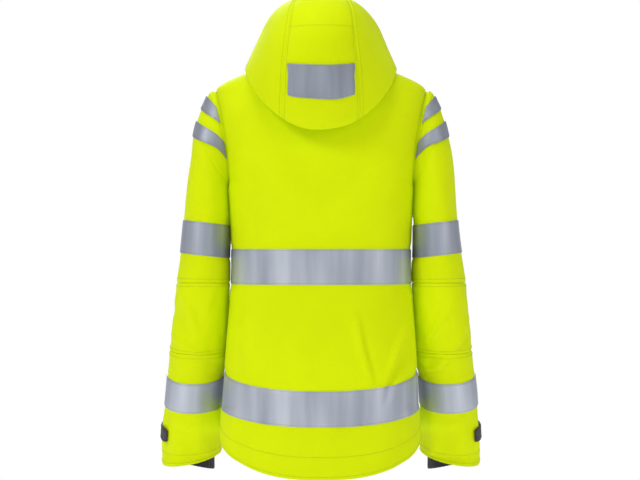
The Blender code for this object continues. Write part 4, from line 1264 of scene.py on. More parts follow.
@dataclass
class BodyPanels:
    """The back, the two fronts, their lining, their tapes and the collar.

    Attributes:
        shape: The cut.
        folds: Where the cloth folds.
        gap: Half the gap between two sewn panels, metres.
        tape_width: Width of the body tapes.
        tape_lift: How far a tape's face stands off the cloth under it.
        hem_stitch: Height of the hem's stitching above its edge.
        edge_stitch: Height of the second row of stitching above the edge.
        spacing: Distance between two rows of the mesh, down the body.
    """

    shape: TorsoShape
    folds: Folds
    gap: float = 0.0004
    tape_width: float = 0.066
    tape_lift: float = TAPE_LIFT
    hem_stitch: float = 0.036
    edge_stitch: float = 0.005
    spacing: float = 0.0052
    seams: Repeat = field(init=False)
    tape_seams: Repeat = field(init=False)

    def __post_init__(self) -> None:
        """Starts the stitching."""
        self.seams = Repeat("body_stitching", THREAD)
        self.tape_seams = Repeat("body_tape_stitching", GREY_THREAD, size=(0.0005, 0.0004, 0.0014))

    def levels(self, low: float, high: float, spacing: float) -> Array:
        """Levels down the body, close together where the armhole turns."""
        arm = 2.5 - 0.5 * np.cos(np.linspace(0, math.pi, 46))
        parts = [np.linspace(0.02, 2, 16)[:-1], arm, np.linspace(3, 4, int(0.112 / spacing))[1:],
                 np.linspace(4, 5, int(0.066 / spacing) + 1)[1:],
                 np.linspace(5, 6, int(0.17 / spacing))[1:],
                 np.linspace(6, 7, int(0.066 / spacing) + 1)[1:],
                 np.linspace(7, 8, int(0.09 / spacing))[1:]]
        every = np.concatenate(parts)
        inside = every[(every > low + 0.01) & (every < high - 0.01)]
        return np.concatenate([[low], inside, [high]])

    def edge(self, v: Array) -> Array:
        """Angle between the side seam or armhole and the side, at each level."""
        return self.shape.armhole_sweep(v) + self.gap / self.shape.half(self.shape.side_level(v))

    def back_grid(self, v: Array, count: int, inset: float = 0.0) -> Array:
        """Points across the back at each level."""
        s = np.linspace(-1, 1, count)[None, :]
        return self.shape((math.pi / 2 - self.edge(v) - inset)[:, None] * s, v[:, None])

    def front_grid(self, v: Array, count: int, x: float, inset: float = 0.0) -> Array:
        """Points across the wearer's left front at each level, from the side to x off the middle."""
        s = np.linspace(0, 1, count)[None, :]
        first = (math.pi / 2 + self.edge(v) + inset)[:, None]
        last = self.shape.front_edge(v, x)[:, None]
        return self.shape(first + (last - first) * s, v[:, None])

    def cloth(self, name: str, finish: Finish, base: Array, side: Side, **more: object) -> Cloth:
        """A cloth that carries the body's folds."""
        real = base * [side.value, 1, 1]
        return Cloth(name, finish, base, relief=self.folds.body(real), side=side, **more)

    def build(self) -> None:
        """Makes every piece of the body."""
        v = self.levels(0.02, 8, self.spacing)
        rolls = (0.003, 0.0, 0.0042, 0.0042)
        back = self.cloth("back_shell", SHELL, self.back_grid(v, 124), Side.LEFT, roll=rolls)
        hang(back, Fitting(("back_panel",), TORSO), "hung", ["hanger_loop"])
        self.stitch_panel(back, v, both=True)
        low = self.levels(2.05, 7.9, 0.012)
        line = self.cloth("back_lining", MESH_LINING, self.back_grid(low, 60, 0.05), Side.LEFT,
                          offset=-0.0063, thick=0.0008)
        hang(line, Fitting(("lining_back",), TORSO), "hung", ["back_shell"])
        for kind, first in (("waist", 4.0), ("hem", 6.0)):
            rows = np.linspace(first, first + 1, 15)
            tape = self.cloth(kind + "_tape_across_back", TAPE, self.back_grid(rows, 120),
                              Side.LEFT, offset=self.tape_lift, thick=TAPE_THICK,
                              roll=(TAPE_ROLL, TAPE_ROLL, 0.003, 0.003), roll_depth=TAPE_DIP)
            hang(tape, Fitting((kind + "_tape_back",), TORSO), "stretched", ["back_shell"])
            self.stitch_tape(tape)
        for side in Side:
            self.build_front(side, v, low)
            self.build_collar(side)
        self.seams.build(Fitting((), TORSO))
        self.tape_seams.build(Fitting((), TORSO))

    def build_front(self, side: Side, v: Array, low: Array) -> None:
        """Makes one front with its lining and tapes."""
        word, x = side.word, self.shape.zip_half + self.gap
        front = self.cloth(word + "_front_shell", SHELL, self.front_grid(v, 64, x), side,
                           roll=(0.003, 0.0, 0.0042, 0.0035))
        hang(front, Fitting((word + "_front_panel",), TORSO), "hung", ["back_shell"])
        self.stitch_panel(front, v, both=False)
        line = self.cloth(word + "_front_lining", MESH_LINING,
                          self.front_grid(low, 34, x + 0.006, 0.05), side, offset=-0.0063,
                          thick=0.0008)
        hang(line, Fitting(("lining_" + word + "_front",), TORSO), "hung", [front.name])
        for kind, first in (("waist", 4.0), ("hem", 6.0)):
            rows = np.linspace(first, first + 1, 15)
            tape = self.cloth(f"{kind}_tape_{word}_front_band", TAPE, self.front_grid(rows, 60, x),
                              side, offset=self.tape_lift, thick=TAPE_THICK,
                              roll=(TAPE_ROLL, TAPE_ROLL, 0.003, 0.0), roll_depth=TAPE_DIP)
            hang(tape, Fitting((f"{kind}_tape_{word}_front",), TORSO), "stretched", [front.name])
            self.stitch_tape(tape)

    def build_collar(self, side: Side) -> None:
        """Makes one half of the stand collar, highest at the front."""
        first = math.radians(84)
        last = float(self.shape.front_edge(np.array([0.0]), self.shape.zip_half + self.gap)[0])
        phi = np.linspace(first, last, 40)[None, :]
        base = self.shape.collar(phi, np.linspace(0, 1, 20)[:, None])
        collar = Cloth(side.word + "_stand_collar", SHELL, base, sign=-1, side=side, offset=-0.0005,
                       thick=0.0029, roll=(0.003, 0.004, 0.0, 0.003), roll_depth=0.0012,
                       relief=ripple(base[..., 0], base[..., 2], 0.06, 41) * 0.0006)
        hang(collar, Fitting(("collar_" + side.word,), TORSO), "hung", [side.word + "_front_shell"])
        self.seams.add(slide_path(collar, (0.90, 0.90), (0.08, 0.97), 60))
        self.seams.add(slide_path(collar, (0.08, 0.90), (0.96, 0.96), 20))

    def stitch_panel(self, cloth: Cloth, v: Array, both: bool) -> None:
        """Stitches along a panel's armhole and side seams, and its hem."""
        rows = cloth.base.shape[0] - 1
        first, under = np.searchsorted(v, 2.0) / rows, np.searchsorted(v, 3.0) / rows
        width = cloth.run[:, -1]
        ends = (0, 1) if both else (0,)
        places = np.linspace(0, 1, rows + 1)
        for end in ends:
            for inset in (0.0060, 0.0105):
                share = inset / width
                column = share if end == 0 else 1 - share
                keep = (places >= first) & (places <= under)
                self.seams.add(cloth.at(places[keep], column[keep], 0.0003))
            column = 0.0060 / width if end == 0 else 1 - 0.0060 / width
            for low, high in ((under, 1.0), (0.02, first)):
                keep = (places >= low) & (places <= high)
                self.seams.add(cloth.at(places[keep], column[keep], 0.0003))
        for height in (self.hem_stitch, self.edge_stitch):
            row = 1 - height / self.spacing / rows
            self.seams.add(slide_path(cloth, (row, row), (0.02, 0.98), 150))
        if not both:
            self.seams.add(cloth.at(places[4:], 1 - 0.007 / width[4:], 0.0003))

    def stitch_tape(self, cloth: Cloth) -> None:
        """Stitches 2.4 mm inside a tape's two long edges."""
        inset = 0.0024 / self.tape_width
        for row in (inset, 1 - inset):
            self.tape_seams.add(slide_path(cloth, (row, row), (0.004, 0.996), 150, 0.0002))


@dataclass
class FrontZip:
    """The front zip: two woven tapes and the coil.

    The coil's turns are 1.5 mm apart in the real zip and 2.2 mm apart here, to show.
    """

    shape: TorsoShape
    top: float = 0.014
    bottom: float = -0.688
    stand: float = 0.0016

    def build(self) -> None:
        """Makes the zip."""
        z = np.linspace(self.top, self.bottom, 90)
        y = self.shape.front_y(z) + self.stand
        coil = Repeat("front_zip_coil", COIL, 0.0022, (0.0013, 0.0011, 0.0008), 6)
        for side in Side:
            x = np.linspace(0.0006, self.shape.zip_half - 0.0007, 7)
            base = np.stack(np.broadcast_arrays(x[None, :], y[:, None], z[:, None]), -1)
            tape = Cloth(side.word + "_front_zip_tape", ZIP_CLOTH, base, sign=-1, side=side,
                         offset=0.0004, thick=0.0008)
            hang(tape, Fitting(("zip_tape_" + side.word,), TORSO), "hung",
                 [side.word + "_front_shell"])
            shift = 0.0011 if side is Side.LEFT else 0.0
            points = np.stack([np.full_like(z, 0.0019 * side.value), y - 0.0001, z - shift], -1)
            facing = np.tile([0.0, -1.0, 0.0], (len(z), 1))
            coil.add((points[:-1] + TO_LOOP, facing[:-1]))
        coil.build(Fitting((), TORSO))
        for name in ("main_slider", "main_puller", "zip_box"):
            dress(name, ZINC)


def dress(node: str, finish: Finish) -> None:
    """Gives a CAD node that stays in view a finish."""
    mesh = FRAME["nodes"][node].data
    mesh.materials.clear()
    mesh.materials.append(finish.material())


@dataclass
class PocketZips:
    """The two hand pockets: a straight zip on a welt, between two lips of shell cloth."""

    shape: TorsoShape
    margin: float = 0.008
    half: float = 0.0105

    def build(self) -> None:
        """Makes both pockets."""
        shape = self.shape
        top = shape(np.array(math.pi - 0.478), np.array(5.10))
        end = shape(np.array(math.pi - 0.646), np.array(5.84))
        length = float(np.linalg.norm(end - top))
        down = (end - top) / length
        out = shape.facing(math.pi - 0.56, 5.47)
        out = out - down * (out @ down)
        out = out / np.linalg.norm(out)
        across = np.cross(down, out)
        rel = shape(np.linspace(math.pi - 0.80, math.pi - 0.34, 24)[:, None],
                    np.linspace(5.0, 5.97, 40)[None, :]) - top
        near = (rel @ down > -0.012) & (rel @ down < length + 0.012)
        near &= np.abs(rel @ across) < 0.0125
        base = top + out * (max(0.0, float((rel @ out)[near].max())) + 0.0006)
        for side in Side:
            self.build_one(side, base, down, out, across, length)

    def build_one(self, side: Side, base: Array, down: Array, out: Array, across: Array,
                  length: float) -> None:
        """Makes one pocket's zip."""
        run = np.linspace(-self.margin, length + self.margin, 60)[:, None]
        place = np.linspace(-self.half, self.half, 31)[None, :]
        lip = step(np.abs(place), 0.0036, 0.0046)
        height = 0.0010 + 0.0012 * lip * np.cos(np.clip((np.abs(place) - 0.0070) / 0.0070, -1, 1))
        height = height * np.ones_like(run)
        lips = base + run[..., None] * down + place[..., None] * across + height[..., None] * out
        cloth = Cloth(side.word + "_pocket_welt", SHELL, lips, sign=1, side=side, thick=0.0009,
                      roll=(0.004, 0.004, 0.002, 0.002), roll_depth=0.0008)
        if np.mean(cloth.normals @ out) < 0:
            cloth = Cloth(cloth.name, SHELL, lips, sign=-1, side=side, thick=0.0009,
                          roll=cloth.roll, roll_depth=cloth.roll_depth)
        hang(cloth, Fitting((side.word + "_pocket_zip",), TORSO), "stretched",
             [side.word + "_front_shell"])
        flip = np.array([side.value, 1, 1])
        coil = Repeat(side.word + "_pocket_zip_coil", COIL, 0.0020, (0.0022, 0.0010, 0.0007), 6)
        t = np.linspace(0.0, length, 40)[:, None]
        path = (base + t * down + 0.0019 * out) * flip + TO_LOOP
        coil.add((path, np.tile(out * flip, (len(path), 1))))
        coil.build(Fitting((), TORSO))
        thread = Repeat(side.word + "_pocket_stitching", THREAD)
        for column in (0.07, 0.93):
            thread.add(slide_path(cloth, (0.02, 0.98), (column, column), 40, 0.0003))
        for row in (0.03, 0.97):
            thread.add(slide_path(cloth, (row, row), (0.07, 0.93), 12, 0.0003))
        thread.build(Fitting((), TORSO))
        for kind in ("slider", "puller"):
            dress(f"{side.word}_pocket_{kind}", ZINC)


@dataclass
class HangerLoop:
    """The braided loop inside the back of the neck.

    Attributes:
        width: Half the distance between its sewn ends.
        drop: How far the ends lie below its top.
        radius: Half its thickness.
        y: Where it stands behind the middle of the neck.
    """

    width: float = 0.034
    drop: float = 0.016
    radius: float = 0.0018
    y: float = 0.0475

    def build(self) -> None:
        """Makes the loop with a braid's twisted relief."""
        turn = np.linspace(0, math.pi, 90)
        line = np.stack([self.width * np.cos(turn), np.full_like(turn, self.y),
                         -self.drop + self.drop * np.sin(turn)], -1)
        ahead = np.gradient(line, axis=0)
        ahead /= np.linalg.norm(ahead, axis=1, keepdims=True)
        one = np.tile([0.0, 1.0, 0.0], (len(turn), 1))
        two = np.cross(ahead, one)
        psi = np.linspace(0, 2 * math.pi, 13)[:-1]
        twist = 1 + 0.10 * np.sin(3 * psi[None, :] + np.arange(len(turn))[:, None] * 0.9)
        ring = (np.cos(psi)[None, :, None] * one[:, None] + np.sin(psi)[None, :, None]
                * two[:, None]) * (self.radius * twist)[..., None]
        loop = Cloth("neck_hanging_loop", KNIT, line[:, None] + ring, sign=1, ring=True,
                     thick=0.0008)
        if np.mean(np.sum(loop.normals * ring, -1)) < 0:
            loop = Cloth(loop.name, KNIT, line[:, None] + ring, sign=-1, ring=True, thick=0.0008)
        obj = loop.build()
        Fitting(("hanger_loop",), TORSO).apply(obj, KNIT.slot)


# ---------------------------------------------------------------- sleeves


@dataclass
class SleeveSet:
    """One sleeve: head and upper sleeve, elbow, lower sleeve, tapes, cuff and tab.

    Rows are a middle level, an outward tilt and a backward tilt, in metres.
    """

    side: Side
    shape: SleeveShape
    folds: Folds
    columns: int = 92
    upper_tape: Tuple[Vec, Vec] = ((-0.313, 0.005, 0.0), (-0.375, 0.005, 0.0))
    forearm_tape: Tuple[Vec, Vec] = ((-0.603, 0.0, -0.017), (-0.660, 0.0, -0.017))
    elbow_top: Vec = (-0.427, 0.0, 0.0)
    elbow_low: Vec = (-0.555, 0.0, -0.008)
    tab_rows: Tuple[Vec, Vec] = ((-0.700, 0.0, -0.014), (-0.727, 0.0, -0.014))
    tab_span: Tuple[float, float] = (-80.0, 40.0)
    cuff_row: Vec = (-0.765, -0.012, -0.013)
    shoulder_bend: Tuple[Vec, Vec] = ((0.174, 0.0, -0.251), (0.204, 0.0, -0.291))
    elbow_bend: Tuple[Vec, Vec] = ((0.2325, 0.0, -0.430), (0.2325, 0.0, -0.553))
    stripes: Tuple[Tuple[Tuple[float, float], Tuple[float, float]], ...] = (
        ((47.0, 0.11), (70.5, 0.265)), ((93.0, 0.385), (113.0, 0.53)))

    def __post_init__(self) -> None:
        """Names the sleeve's bodies."""
        self.word = self.side.word
        self.arm, self.forearm = self.word + "_upper_arm", self.word + "_forearm"
        self.psi = np.linspace(0, 2 * math.pi, self.columns + 1)[:-1]

    def mirror(self, point: Vec) -> Vec:
        """A point on the wearer's left moved to this sleeve's side."""
        return (point[0] * self.side.value, point[1], point[2])

    def bend(self, nodes: Tuple[str, ...], elbow: bool) -> Fitting:
        """How a piece bends over the shoulder or the elbow."""
        if elbow:
            start, end = self.elbow_bend
            return Fitting(nodes, self.arm, self.forearm, self.mirror(start), self.mirror(end))
        start, end = self.shoulder_bend
        return Fitting(nodes, TORSO, self.arm, self.mirror(start), self.mirror(end))

    def node(self, name: str) -> str:
        """A node's name on this side."""
        return f"{self.word}_{name}"

    def cloth(self, name: str, finish: Finish, base: Array, **more: object) -> Cloth:
        """A cloth that carries the sleeve's folds."""
        relief = more.pop("relief", self.folds.sleeve(base, self.side))
        return Cloth(self.node(name), finish, base, sign=-1, side=self.side, relief=relief, **more)

    def stitches(self, name: str, finish: Finish, paths: Sequence[Tuple[Array, Array]],
                 fitting: Fitting) -> None:
        """Makes one run of stitching."""
        run = Repeat(self.node(name), finish)
        for path in paths:
            run.add(path)
        run.build(fitting)

    def build(self) -> None:
        """Makes the sleeve from the armhole down."""
        self.build_top()
        self.build_elbow()
        self.build_lower()
        self.build_cuff()

    def build_top(self) -> None:
        """Makes the head and the upper sleeve in one, with the stripes and the upper tape."""
        t = np.linspace(0.0, 1.0, 40)[:-1]
        head = self.shape.cap(self.psi[None, :], t[:, None])
        rest = self.shape.rows(self.psi, [(-0.276, 0.008, 0.0), *self.upper_tape,
                                          (self.elbow_top[0] + 0.0004, 0.0, 0.0)], 34)
        tuck = self.allowance()
        base = np.concatenate([tuck, head, rest])
        near = np.concatenate([np.zeros(len(tuck)), t, np.ones(len(rest))])[:, None]
        relief = self.folds.sleeve(base, self.side) * step(near, 0.0, 0.22)
        depth = np.linalg.norm(base - head[:1], axis=2)
        relief = relief - 0.0012 * (near > 0) * (1 - np.clip(depth / 0.005, 0, 1)) ** 2
        relief = relief - 0.0012 * (near == 0)
        relief = relief + self.folds.head(base, self.side)
        relief = relief + self.gathers(base) * step(near, 0.02, 0.3)
        relief = relief + self.fullness(self.psi, near)
        top = self.cloth("sleeve_top", SHELL, base, ring=True, relief=relief, thick=0.0018,
                         roll=(0.0, 0.0035, 0, 0), roll_depth=SEAM_DIP)
        self.top = top
        hang(top, self.bend((self.node("sleeve_cap"), self.node("upper_sleeve")), False), "hung",
             ["back_shell", self.word + "_front_shell"])
        rows = len(base) - 1
        paths = [slide_path(top, (5.0 / rows, 5.0 / rows), (0, 1), 160),
                 slide_path(top, (1 - 1.6 / rows, 1 - 1.6 / rows), (0, 1), 120)]
        self.stitches("sleeve_top_stitching", THREAD, paths, self.bend((), False))
        for number, edges in enumerate(self.stripes, 1):
            self.build_stripe(number, edges)
        band = self.shape.rows(self.psi, self.upper_tape, 15)
        # The upper sleeve band takes the darker copy of the tape, painted shade.
        self.build_band(("upper_sleeve_band", "upper_sleeve_tape", "upper_band_stitching"),
                        SHADED_ARM_TAPE, band, self.gathers(band), self.arm, "sleeve_top")

    def build_band(self, names: Tuple[str, str, str], finish: Finish, base: Array,
                   waves: Union[Array, float], body: str, under: str) -> None:
        """Makes one reflective band round the sleeve, stitched along both edges.

        Args:
            names: The band, the node it replaces and its stitching.
            finish: The band's finish.
            base: Its grid.
            waves: Relief on top of the sleeve's folds.
            body: The body it rides on.
            under: The cloth it is sewn to.
        """
        tape = self.cloth(names[0], finish, base, ring=True, offset=TAPE_LIFT, thick=TAPE_THICK,
                          relief=self.folds.sleeve(base, self.side) + waves,
                          roll=(TAPE_ROLL, TAPE_ROLL, 0, 0), roll_depth=TAPE_DIP)
        hang(tape, Fitting((self.node(names[1]),), body), "stretched", [self.node(under)])
        self.stitches(names[2], GREY_THREAD,
                      [slide_path(tape, (r, r), (0, 1), 110, 0.0002) for r in (0.04, 0.96)],
                      Fitting((), body))

    def allowance(self) -> Array:
        """Two rows of seam allowance that lie inside the body, under the armhole's edge."""
        body = self.shape.torso
        facing = body.facing(math.pi / 2 - body.sweep * np.sin(self.psi),
                             2.5 - 0.5 * np.cos(self.psi))
        edge = body.armhole(self.psi)
        middle = edge.mean(axis=0)
        inward = middle - edge
        inward = inward / np.linalg.norm(inward, axis=1, keepdims=True)
        return np.stack([edge - facing * 0.0030 - inward * 0.009, edge - facing * 0.0026
                         - inward * 0.003])

    @staticmethod
    def fullness(psi: Array, t: Array) -> Array:
        """How much fuller the sleeve head is on top of the shoulder."""
        up = np.clip(np.cos(psi), 0, 1) ** 2
        soft = 0.0018 * up * step(t, 0.0, 0.04) * (1 - step(t, 0.12, 0.35))
        return soft + 0.0046 * up * up * step(t, 0.0, 0.025) * (1 - step(t, 0.03, 0.20))

    def gathers(self, base: Array) -> Array:
        """Soft upright waves where the sleeve head is eased in."""
        x, y, z = np.moveaxis(base, -1, 0)
        high = step(-z, 0.10, 0.16) * (1 - step(-z, 0.30, 0.42))
        return high * 0.0009 * np.sin(x * 150 + 2.2 * np.sin(z * 21 + self.side.value))

    def build_stripe(self, number: int, edges: Tuple[Tuple[float, float], ...]) -> None:
        """Makes one reflective stripe over the shoulder."""
        (psi0, t0), (psi1, t1) = edges
        s, w = np.linspace(-1, 1, 90)[None, :], np.linspace(0, 1, 9)[:, None]
        psi = np.radians(psi0 + (psi1 - psi0) * w) * s
        t = 0.045 + (t0 + (t1 - t0) * w - 0.045) * (1 - np.abs(s) ** 3)
        base = self.shape.cap(psi, t)
        relief = self.folds.sleeve(base, self.side) * 0.5 + self.gathers(base) * 0.6
        # The stripe takes the darker copy of the tape, painted shade.
        stripe = self.cloth(f"shoulder_band_{number}", SHADED_TAPE, base, offset=0.0026,
                            thick=TAPE_THICK,
                            relief=np.clip(relief, -0.0004, 0.002) + self.fullness(psi, t),
                            roll=(0.0014, 0.0014, 0.003, 0.003), roll_depth=TAPE_DIP)
        hang(stripe, self.bend((self.node(f"shoulder_stripe_{number}"),), False), "stretched",
             [self.node("sleeve_top")])
        self.stitches(f"shoulder_band_{number}_stitching", GREY_THREAD,
                      [slide_path(stripe, (r, r), (0.01, 0.99), 90, 0.0002) for r in (0.09, 0.91)],
                      self.bend((), False))

    def build_elbow(self) -> None:
        """Makes the elbow panel, which folds when the arm bends."""
        gap = 0.0004
        base = self.shape.rows(self.psi, [
            (self.elbow_top[0] - gap, *self.elbow_top[1:]),
            (self.elbow_low[0] + gap, *self.elbow_low[1:])], 36)
        elbow = self.cloth("elbow_shell", SHELL, base, ring=True, roll=(0.0035, 0.0035, 0, 0),
                           roll_depth=SEAM_DIP)
        hang(elbow, self.bend((self.node("elbow_panel"),), True), "hung", [self.node("sleeve_top")])
        rows = len(base) - 1
        self.stitches("elbow_stitching", THREAD,
                      [slide_path(elbow, (r, r), (0, 1), 120) for r in (1.5 / rows, 1 - 1.5 / rows)],
                      self.bend((), True))

    def build_lower(self) -> None:
        """Makes the lower sleeve with its tape."""
        rows = [(self.elbow_low[0] - 0.0004, *self.elbow_low[1:]), *self.forearm_tape,
                *self.tab_rows, self.cuff_row]
        base = self.shape.rows(self.psi, rows, 56)
        x, y, z = np.moveaxis(base, -1, 0)
        relief = self.folds.sleeve(base, self.side)
        pinch = step(-z, 0.66, 0.70) * (1 - step(-z, 0.735, 0.765))
        relief = relief + pinch * 0.0016 * np.sin(self.psi[None, :] * 7 + self.side.value)
        lower = self.cloth("lower_sleeve_shell", SHELL, base, ring=True, relief=relief,
                           roll=(0.0035, 0.0, 0, 0), roll_depth=SEAM_DIP)
        hang(lower, Fitting((self.node("lower_sleeve"),), self.forearm), "hung",
             [self.node("elbow_shell")])
        paths = [slide_path(lower, (r, r), (0, 1), 120) for r in (0.030, 0.905, 0.975)]
        self.stitches("lower_sleeve_stitching", THREAD, paths, Fitting((), self.forearm))
        band = self.shape.rows(self.psi, self.forearm_tape, 15)
        self.build_band(("forearm_band", "forearm_tape", "forearm_band_stitching"),
                        TAPE, band, 0.0, self.forearm, "lower_sleeve_shell")

    def build_cuff(self) -> None:
        """Makes the ribbed inner cuff and the tab of hook and loop."""
        psi = np.linspace(0, 2 * math.pi, 145)[:-1]
        level = np.linspace(-0.728, -0.780, 22)[:, None]
        base = self.shape.inner_cuff(psi[None, :], level)
        ribs = 0.0005 * np.cos(psi[None, :] * 36) + 0 * level
        cuff = self.cloth("ribbed_inner_cuff", KNIT, base, ring=True, thick=0.0020, relief=ribs,
                          roll=(0.0, 0.003, 0, 0), roll_depth=0.0009)
        hang(cuff, Fitting((self.node("inner_cuff"),), self.forearm), "stretched",
             [self.node("lower_sleeve_shell")])
        span = np.radians(np.linspace(*self.tab_span, 60))
        w = np.linspace(-1, 1, 13)[:, None]
        end = np.clip((np.arange(60) - 50) / 9, 0, 1)[None, :]
        narrow = w * np.sqrt(np.clip(1 - (0.62 * end) ** 2, 0, 1))
        top, low = (np.array(r) for r in self.tab_rows)
        middle = (top[0] + low[0]) / 2 + (top[0] - low[0]) / 2 * -narrow
        slanted = self.shape.slant(span[None, :], middle, 0.0, top[2])
        base = self.shape(span[None, :], slanted)
        pile = ripple(base[..., 2], base[..., 0] + base[..., 1], 0.004, 57) * 0.0001
        tab = self.cloth("cuff_closing_tab", HOOK, base, offset=0.0044, thick=0.0022,
                         relief=pile, roll=(0.0014,) * 4, roll_depth=0.0007)
        hang(tab, Fitting((self.node("cuff_tab"),), self.node("cuff_tab")), "stretched",
             [self.node("lower_sleeve_shell")])
        border = [slide_path(tab, (r, r), (0.03, 0.95), 60, 0.0001) for r in (0.12, 0.88)]
        border += [slide_path(tab, (0.12, 0.88), (c, c), 16, 0.0001) for c in (0.03, 0.12)]
        self.stitches("cuff_tab_stitching", BLACK_THREAD, border, Fitting((), self.node("cuff_tab")))


# ---------------------------------------------------------------- hood


@dataclass
class HoodSet:
    """The hood: centre panel, two sides, brim, neck cloth in two halves and the patch.

    Attributes:
        shape: The cut.
        folds: Where the cloth folds.
        seam: Half width of the centre panel, as a share of the section.
        patch: Half width, top and bottom height of the reflective patch.
        neck_start: Where the neck cloth starts to bend.
        neck_reach: From there to where it moves with the hood.
    """

    shape: HoodShape
    folds: Folds
    seam: float = 0.325
    patch: Vec = (0.0605, -0.0265, -0.0885)
    neck_start: Vec = (0.0, 0.0648, 0.0)
    neck_reach: Vec = (0.0567, 0.0534, -0.0109)

    def cloth(self, name: str, v: Array, row: Array, finish: Finish, side: Side = Side.LEFT,
              **more: object) -> Cloth:
        """A cloth on the hood that carries its folds."""
        base = self.shape(v, row)
        relief = self.folds.hood(base * [side.value, 1, 1])
        return Cloth(name, finish, base, sign=-1, side=side, relief=relief, **more)

    def build(self) -> None:
        """Makes every piece of the hood."""
        gap = 0.0006
        rows = np.concatenate([np.linspace(2.97, 4.2, 16)[:-1], np.linspace(4.2, 11.66, 84)])
        wide = np.linspace(-self.seam + gap, self.seam - gap, 46)[None, :]
        ride = Fitting(("hood_centre_panel",), "hood")
        edge = 0.0042
        middle = self.cloth("hood_centre_shell", wide, rows[:, None], SHELL,
                            roll=(0.003, 0.002, edge, edge))
        hang(middle, ride, "hung", ["hood_neck_panel"])
        seams = Repeat("hood_stitching", THREAD)
        for column in (0.045, 0.955):
            seams.add(slide_path(middle, (0.02, 0.98), (column, column), 150))
        across = self.row_share(rows, self.shape.row_at(0.046))
        seams.add(slide_path(middle, (across, across), (0.03, 0.97), 70))
        for side in Side:
            v = np.linspace(self.seam + gap, 0.995, 62)[None, :]
            panel = self.cloth(side.word + "_hood_shell", v, rows[:, None], SHELL, side,
                               roll=(0.003, 0.002, edge, 0.0))
            hang(panel, Fitting((f"hood_{side.word}_side",), "hood"), "hung", ["hood_centre_shell"])
            seams.add(slide_path(panel, (0.02, 0.98), (0.032, 0.032), 150))
            seams.add(slide_path(panel, (0.018, 0.018), (0.03, 0.9), 70))
            seams.add(slide_path(panel, (0.10, 0.98), (0.965, 0.965), 120))
        seams.add(slide_path(middle, (0.018, 0.018), (0.03, 0.97), 70))
        self.build_brim(seams)
        seams.build(Fitting((), "hood"))
        self.build_neck()
        self.build_patch()

    @staticmethod
    def row_share(rows: Array, row: float) -> float:
        """A row's place down a grid, 0 to 1."""
        return float(np.interp(row, rows, np.linspace(0, 1, len(rows))))

    def build_brim(self, seams: Repeat) -> None:
        """Makes the doubled cloth round the face opening."""
        v = np.linspace(-0.99, 0.99, 120)[None, :]
        brim = self.cloth("hood_brim_band", v, np.linspace(11.665, 12, 9)[:, None], SHELL,
                          offset=0.0006, thick=0.0044, roll=(0.0022, 0.0030, 0.002, 0.002),
                          roll_depth=0.0014)
        hang(brim, Fitting(("hood_brim",), "hood"), "hung", ["hood_centre_shell"])
        seams.add(slide_path(brim, (0.30, 0.30), (0.02, 0.98), 120))

    def build_neck(self) -> None:
        """Makes the cloth between the neck seam and the bottom fold, in two halves."""
        for side in Side:
            v = np.linspace(0.0, 0.89, 64)[None, :]
            half = self.cloth(side.word + "_hood_neck_shell", v, np.linspace(0, 2.95, 40)[:, None],
                              SHELL, side, roll=(0.004, 0.002, 0.0, 0.0))
            reach = np.array(self.neck_reach) * [side.value, 1, 1]
            end = tuple(float(q) for q in np.array(self.neck_start) + reach)
            nodes = ("hood_neck_panel",) if side is Side.LEFT else ()
            bend = Fitting(nodes, TORSO, "hood", self.neck_start, end)
            hang(half, bend, "hung", ["back_shell"])
            thread = Repeat(side.word + "_hood_neck_stitching", THREAD)
            thread.add(slide_path(half, (0.06, 0.06), (0.0, 0.97), 80))
            thread.build(Fitting((), TORSO, "hood", self.neck_start, end))

    def build_patch(self) -> None:
        """Makes the reflective patch at the back, a little wavy along its edges."""
        low, high = self.shape.row_at(self.patch[2]), self.shape.row_at(self.patch[1])
        share = np.linspace(0, 1, 34)[:, None]
        across = np.linspace(-1, 1, 60)[None, :]
        row = low + (high - low) * share + 0.016 * np.sin(across * 4.1 + 0.5) * (1 - share)
        row = row + 0.008 * np.sin(across * 3.1) * share
        reach = self.shape.v_at(self.patch[0], row[:, 30])[:, None]
        reach = reach * (1 + 0.012 * np.sin(share * 9))
        # The patch takes the darker copy of the tape, painted shade.
        patch = self.cloth("hood_reflective_square", reach * across, row, SHADED_TAPE, offset=0.0025,
                           thick=TAPE_THICK, roll=(0.002,) * 4, roll_depth=0.0008)
        hang(patch, Fitting(("hood_reflective_patch",), "hood"), "stretched",
             ["hood_centre_shell"])
        thread = Repeat("hood_square_stitching", GREY_THREAD)
        for share in (0.035, 0.965):
            thread.add(slide_path(patch, (share, share), (0.02, 0.98), 60, 0.0002))
            thread.add(slide_path(patch, (0.03, 0.97), (share, share), 40, 0.0002))
        thread.build(Fitting((), "hood"))


# ---------------------------------------------------------------- studio


